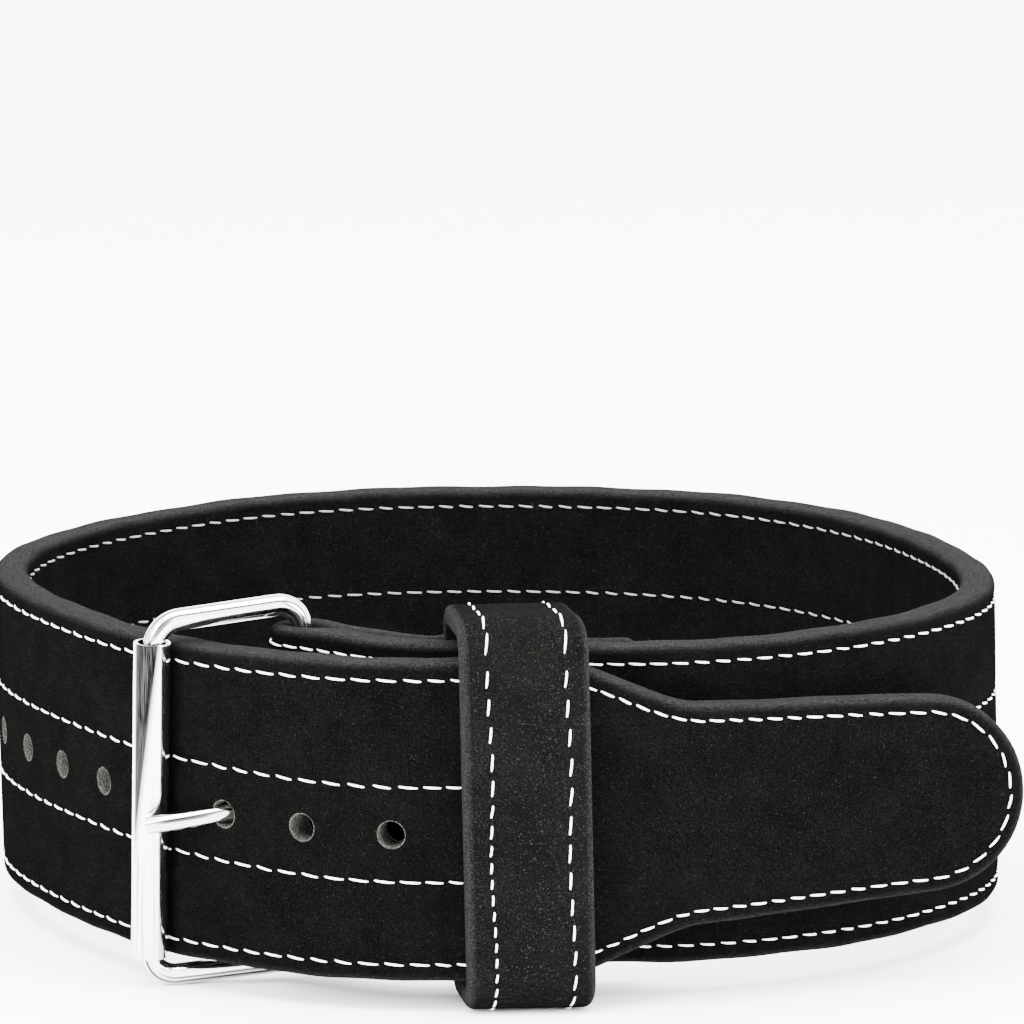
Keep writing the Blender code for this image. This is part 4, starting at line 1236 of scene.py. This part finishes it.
keeper_thread = grown("keeper_stitches", line_object("keeper seam lines", keeper_lines()), SEWING, SEWING_KEYS,
                      {"piece": stitch, "turn": SEAM_TURN, "slant": SEAM_SLANT, "seed": 8,
                       "material": white_thread})
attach(keeper_thread, "belt")
bpy.data.objects.remove(stitch, do_unlink=True)
print("keeper stitches", len(keeper_thread.data.polygons), "faces")

# %% [markdown]
# ## Bent wire
#
# The buckle's frame is one ring of round wire with small bends at its corners, and the prong is a shorter piece of
# thinner wire with an open eye. Both are a line with a round section, so one tree sweeps a circle along a line.

# %% A tree that sweeps a wire
WIRE_SIDES = 28
FRAME_HEIGHT = STRAP_WIDTH + 13.8 * MM
FRAME_INNER_BEND = 8.5 * MM
FRAME_OUTER_BEND = 8.5 * MM
OUTER_BAR_DROP = 3.4 * MM
OUTER_BAR_LEAN = 6.8 * MM
ROLLER_WALL = 1.2 * MM
ROLLER_LENGTH = FRAME_HEIGHT - 13 * MM
ROLLER_LIFT = 0.5 * MM
ROLLER_SLACK = 0.4 * MM
BEND_STEPS = 12


def wire_tree():
    tree = bpy.data.node_groups.new("wire along a line", "GeometryNodeTree")
    keys = {
        "line": tree_input(tree, "Line", "NodeSocketGeometry"),
        "radius": tree_input(tree, "Radius", "NodeSocketFloat", WIRE_DIAMETER / 2),
        "closed": tree_input(tree, "Closed", "NodeSocketBool", True),
        "material": tree_input(tree, "Material", "NodeSocketMaterial"),
    }
    tree.interface.new_socket("Wire", in_out="OUTPUT", socket_type="NodeSocketGeometry")
    given = add_node(tree, "NodeGroupInput").outputs
    curve = add_node(tree, "GeometryNodeMeshToCurve", {"Mesh": given["Line"]}).outputs["Curve"]
    curve = add_node(tree, "GeometryNodeSetSplineCyclic", {"Geometry": curve, "Cyclic": given["Closed"]})
    circle = add_node(tree, "GeometryNodeCurvePrimitiveCircle", {"Resolution": WIRE_SIDES, "Radius": given["Radius"]})
    swept = add_node(tree, "GeometryNodeCurveToMesh",
                     {"Curve": curve.outputs[0], "Profile Curve": circle.outputs["Curve"], "Fill Caps": True})
    whole = add_node(tree, "GeometryNodeRealizeInstances", {"Geometry": swept.outputs["Mesh"]})
    dressed = add_node(tree, "GeometryNodeSetMaterial",
                       {"Geometry": whole.outputs["Geometry"], "Material": given["Material"]})
    out = add_node(tree, "NodeGroupOutput")
    tree.links.new(dressed.outputs["Geometry"], out.inputs["Wire"])
    return tree, keys


WIRE, WIRE_KEYS = wire_tree()


def plain_line(name, points):
    data = bpy.data.meshes.new(name)
    data.from_pydata([tuple(point) for point in points], [(step, step + 1) for step in range(len(points) - 1)], [])
    return linked(name, data)


def swept_wire(name, points, radius, closed, material):
    made = grown(name, plain_line(name + " line", points), WIRE, WIRE_KEYS,
                 {"radius": radius, "closed": closed, "material": material})
    shape = bmesh.new()
    shape.from_mesh(made.data)
    bmesh.ops.recalc_face_normals(shape, faces=shape.faces[:])
    shape.to_mesh(made.data)
    shape.free()
    index = np.arange(len(made.data.vertices))
    turned = math.tau * (index % WIRE_SIDES) / WIRE_SIDES
    store(made.data, "flat", "FLOAT_VECTOR",
          np.column_stack([radius * np.cos(turned), radius * np.sin(turned), (index // WIRE_SIDES) * MM]))
    made.data.shade_smooth()
    made.data.set_sharp_from_angle(angle=SHARP_BEND)
    return made


print("wire inputs", list(WIRE_KEYS))

# %% Buckle frame, roller axis and prong line


def bar_axes():
    """The middles of the upright inner bar, the leaning outer bar and the roller, and how the outer bar points."""
    inner = beside_loop(BAR_REACH, -BAR_DEPTH)
    roller = beside_loop(0.0, SEAT + ROLLER_DIAMETER / 2)
    outer = roller + (inner - roller) / np.linalg.norm(inner - roller) * ROLLER_SLACK
    lean = Vector((*(LOOP.heading(0.0) * OUTER_BAR_LEAN / FRAME_HEIGHT), 1.0))
    place = Vector(PLACE)
    low = LAYER_RISE - OUTER_BAR_DROP
    return (Vector((*inner, LAYER_RISE)) + place, Vector((*outer, low)) + place,
            Vector((*roller, low)) + place + lean * ROLLER_LIFT, lean)


INNER_BAR, OUTER_BAR, ROLLER_MIDDLE, LEAN = bar_axes()


def frame_points():
    across = INNER_BAR - OUTER_BAR
    across.z = 0.0
    width, half = across.length, FRAME_HEIGHT / 2
    across.normalize()
    points = []
    for inner_side, up, start in ((True, 1, 0.0), (False, 1, 0.5), (False, -1, 1.0), (True, -1, 1.5)):
        bend_radius = FRAME_INNER_BEND if inner_side else FRAME_OUTER_BEND
        for share in np.linspace(0.0, 0.5, BEND_STEPS + 1):
            turned = math.pi * (start + share)
            x = (width - bend_radius if inner_side else bend_radius) + bend_radius * math.cos(turned)
            z = up * (half - bend_radius) + bend_radius * math.sin(turned)
            outer_share = 1 - x / width
            base = Vector((OUTER_BAR.x, OUTER_BAR.y, INNER_BAR.z - OUTER_BAR_DROP * outer_share)) + across * x
            points.append(base + Vector((LEAN.x * outer_share, LEAN.y * outer_share, 1.0)) * z)
    return points


PRONG_PAST_ROLLER = 2.5 * MM
PRONG_DROOP = 6 * MM
PRONG_STRAIGHT_SHARE = 0.86
EYE_TURN = math.radians(255)


def prong_points():
    """Round the inner bar, out through the hole and over the roller."""
    eye_radius = BAR_RADIUS + BAR_CLEARANCE + PRONG_DIAMETER / 2
    hole_height = -float(centre_dip(PRONG_HOLE))
    hole = Vector((*beside_loop(PRONG_HOLE_REACH, SEAT + PRONG_DIAMETER / 2), hole_height)) + Vector(PLACE)
    along = INNER_BAR - OUTER_BAR
    along.z = 0.0
    along.normalize()
    front = Vector((along.y, -along.x, 0.0))
    rest = ROLLER_DIAMETER / 2 + SEAT + PRONG_DIAMETER / 2
    drooped = PLACE[2] - PRONG_DROOP
    tip = ROLLER_MIDDLE + LEAN * (drooped - OUTER_BAR.z) + front * rest - along * PRONG_PAST_ROLLER
    tip.z = drooped
    to_hole = (hole - INNER_BAR).to_2d()
    leave = math.atan2(to_hole.y, to_hole.x) + math.acos(eye_radius / to_hole.length)
    points = []
    for share in np.linspace(1.0, 0.0, 3 * BEND_STEPS):
        turned = leave + EYE_TURN * share
        points.append(INNER_BAR + eye_radius * Vector((math.cos(turned), math.sin(turned), 0.0)))
    start = points[-1].copy()
    bent = start + (Vector((hole.x, hole.y, start.z)) - start) * PRONG_STRAIGHT_SHARE
    for t in np.linspace(0.0, 1.0, 2 * BEND_STEPS)[1:]:
        curved = (1 - t) ** 2 * start + 2 * (1 - t) * t * hole + t ** 2 * tip
        point = start.lerp(bent, t).lerp(curved, float(smooth_step(t)))
        point.z = start.z + (tip.z - start.z) * t
        points.append(point)
    return points


buckle = swept_wire("buckle_wire", frame_points(), WIRE_DIAMETER / 2, True, wire_nickel)
prong = swept_wire("prong_wire", prong_points(), PRONG_DIAMETER / 2, False, wire_nickel)
for piece, node in ((buckle, "buckle_frame"), (prong, "prong")):
    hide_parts(node)
    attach(piece, "belt")
print("buckle", [round(value / MM, 1) for value in buckle.dimensions], "prong", len(prong.data.polygons))

# %% [markdown]
# ## Turned pieces: the roller and the rivets
#
# The roller is a thin steel tube that spins on the outer bar. The rivets are hollow: a domed cap with a dimple on
# the waist side and a flat head on the other. Each is a profile turned round an axis.

# %% Roller
TURN_SIDES = 64
ROLLER_LIP = 0.35 * MM
FINE_WELD = 0.005 * MM
SHARP_TURN = math.radians(40)


def turned_mesh(name, profile, closed, material):
    """A profile of (radius, height) turned round Z."""
    shape = bmesh.new()
    verts = [shape.verts.new((radius, 0.0, height)) for radius, height in profile]
    pairs = list(zip(verts, verts[1:])) + ([(verts[-1], verts[0])] if closed else [])
    edges = [shape.edges.new(pair) for pair in pairs]
    bmesh.ops.spin(shape, geom=verts + edges, cent=(0, 0, 0), axis=(0, 0, 1), angle=math.tau, steps=TURN_SIDES,
                   use_merge=True)
    bmesh.ops.remove_doubles(shape, verts=shape.verts, dist=FINE_WELD)
    bmesh.ops.recalc_face_normals(shape, faces=shape.faces[:])
    data = bpy.data.meshes.new(name)
    shape.to_mesh(data)
    shape.free()
    data.materials.append(material)
    data.shade_smooth()
    data.set_sharp_from_angle(angle=SHARP_TURN)
    return data


def roller_profile():
    outer, inner, half = ROLLER_DIAMETER / 2, ROLLER_DIAMETER / 2 - ROLLER_WALL, ROLLER_LENGTH / 2
    lip = [(outer - ROLLER_LIP * (1 - math.cos(turned)), half - ROLLER_LIP * (1 - math.sin(turned)))
           for turned in np.linspace(0.0, math.pi / 2, 5)]
    top = lip + [(inner, half)]
    return top + [(radius, -height) for radius, height in reversed(top)]


roller_mesh = turned_mesh("roller_tube", roller_profile(), True, tube_nickel)
roller_mesh.transform(LEAN.to_track_quat("Z", "Y").to_matrix().to_4x4())
store(roller_mesh, "flat", "FLOAT_VECTOR", [(*(vertex.co - LEAN * vertex.co.z).xy, vertex.co.z)
                                            for vertex in roller_mesh.vertices])
roller_mesh.transform(Matrix.Translation(ROLLER_MIDDLE))
roller = linked("roller_tube", roller_mesh)
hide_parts("roller")
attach(roller, "roller")
print("roller", [round(value / MM, 1) for value in roller.dimensions])

# %% Rivets
RIVET_COLUMNS = (35.5 * MM, 119 * MM)
RIVET_ROWS = (33.5 * MM, 0.0, -33.5 * MM)
RIVET_CAP_RADIUS = 5.75 * MM
RIVET_CAP_HEIGHT = 1.8 * MM
RIVET_DIMPLE = 0.35 * MM
RIVET_DIMPLE_REACH = 0.3
RIVET_DOME = 0.7
RIVET_FLAT = 0.85
RIVET_POST_RADIUS = 2.1 * MM
RIVET_HEAD_HEIGHT = 1.0 * MM
RIVET_SINK = 0.15 * MM
PROFILE_STEPS = 12


def under_face(from_bar):
    return beside_loop(BAR_REACH + from_bar, -under_depth(from_bar))


def rivet_axis(column):
    """A rivet's inner end, its direction outward and its length through flap and band, square to both."""
    step = under_face(column + PATH_STEP) - under_face(column - PATH_STEP)
    out = outward(step / np.linalg.norm(step))
    across = float(np.dot(out, outward(LOOP.heading(BAR_REACH + column))))
    through = across * float(under_thickness(column) + flap_lift(column) + FOLD_THICKNESS)
    return under_face(column) - out * through, out, through


def one_rivet(through):
    low, high = -RIVET_SINK, through + RIVET_SINK
    cap = []
    for share in np.linspace(0.0, 1.0, PROFILE_STEPS):
        dimple = RIVET_DIMPLE * math.exp(-(share / RIVET_DIMPLE_REACH) ** 2)
        dome = RIVET_CAP_HEIGHT * math.cos(share * math.pi / 2) ** RIVET_DOME
        cap.append((RIVET_CAP_RADIUS * math.sin(share * math.pi / 2), low - dome + dimple))
    head = [(RIVET_POST_RADIUS, high), (RIVET_CAP_RADIUS, high),
            (RIVET_FLAT * RIVET_CAP_RADIUS, high + RIVET_HEAD_HEIGHT), (0.0, high + RIVET_HEAD_HEIGHT)]
    return linked("one rivet", turned_mesh("one rivet", cap + [(RIVET_POST_RADIUS, low)] + head, False, rivet_nickel))


def studding_tree():
    """Sets a piece at every point, with its Z along the way off the face."""
    tree = bpy.data.node_groups.new("a piece at every point", "GeometryNodeTree")
    keys = {
        "points": tree_input(tree, "Points", "NodeSocketGeometry"),
        "piece": tree_input(tree, "Piece", "NodeSocketObject"),
        "material": tree_input(tree, "Material", "NodeSocketMaterial"),
    }
    tree.interface.new_socket("Pieces", in_out="OUTPUT", socket_type="NodeSocketGeometry")
    given = add_node(tree, "NodeGroupInput").outputs
    points = add_node(tree, "GeometryNodeMeshToPoints", {"Mesh": given["Points"]}).outputs["Points"]
    way = add_node(tree, "GeometryNodeInputNamedAttribute", {"Name": "face_way"}, data_type="FLOAT_VECTOR")
    turned = add_node(tree, "FunctionNodeAxesToRotation",
                      {"Primary Axis": way.outputs["Attribute"], "Secondary Axis": (0.0, 0.0, 1.0)},
                      primary_axis="Z", secondary_axis="X").outputs["Rotation"]
    piece = add_node(tree, "GeometryNodeObjectInfo", {"Object": given["Piece"]}).outputs["Geometry"]
    placed = add_node(tree, "GeometryNodeInstanceOnPoints",
                      {"Points": points, "Instance": piece, "Rotation": turned}).outputs["Instances"]
    whole = add_node(tree, "GeometryNodeRealizeInstances", {"Geometry": placed}).outputs["Geometry"]
    dressed = add_node(tree, "GeometryNodeSetMaterial", {"Geometry": whole, "Material": given["Material"]})
    out = add_node(tree, "NodeGroupOutput")
    tree.links.new(dressed.outputs["Geometry"], out.inputs["Pieces"])
    return tree, keys


STUDDING, STUDDING_KEYS = studding_tree()
rivet_points, rivet_ways = [], []
for column in RIVET_COLUMNS:
    inner, out, through = rivet_axis(column)
    for row in RIVET_ROWS:
        rivet_points.append(Vector((*inner, row + float(layer_rise(column)))) + Vector(PLACE))
        rivet_ways.append((*out, 0.0))
rivet = one_rivet(through)
rivets = grown("rivets", line_object("rivet places", [(rivet_points, rivet_ways, 1.0)]), STUDDING, STUDDING_KEYS,
               {"piece": rivet, "material": rivet_nickel})
bpy.data.objects.remove(rivet, do_unlink=True)
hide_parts(*[f"rivet_{index}" for index in range(1, 7)])
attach(rivets, "belt")
print("rivets", len(rivets.data.polygons), "faces")
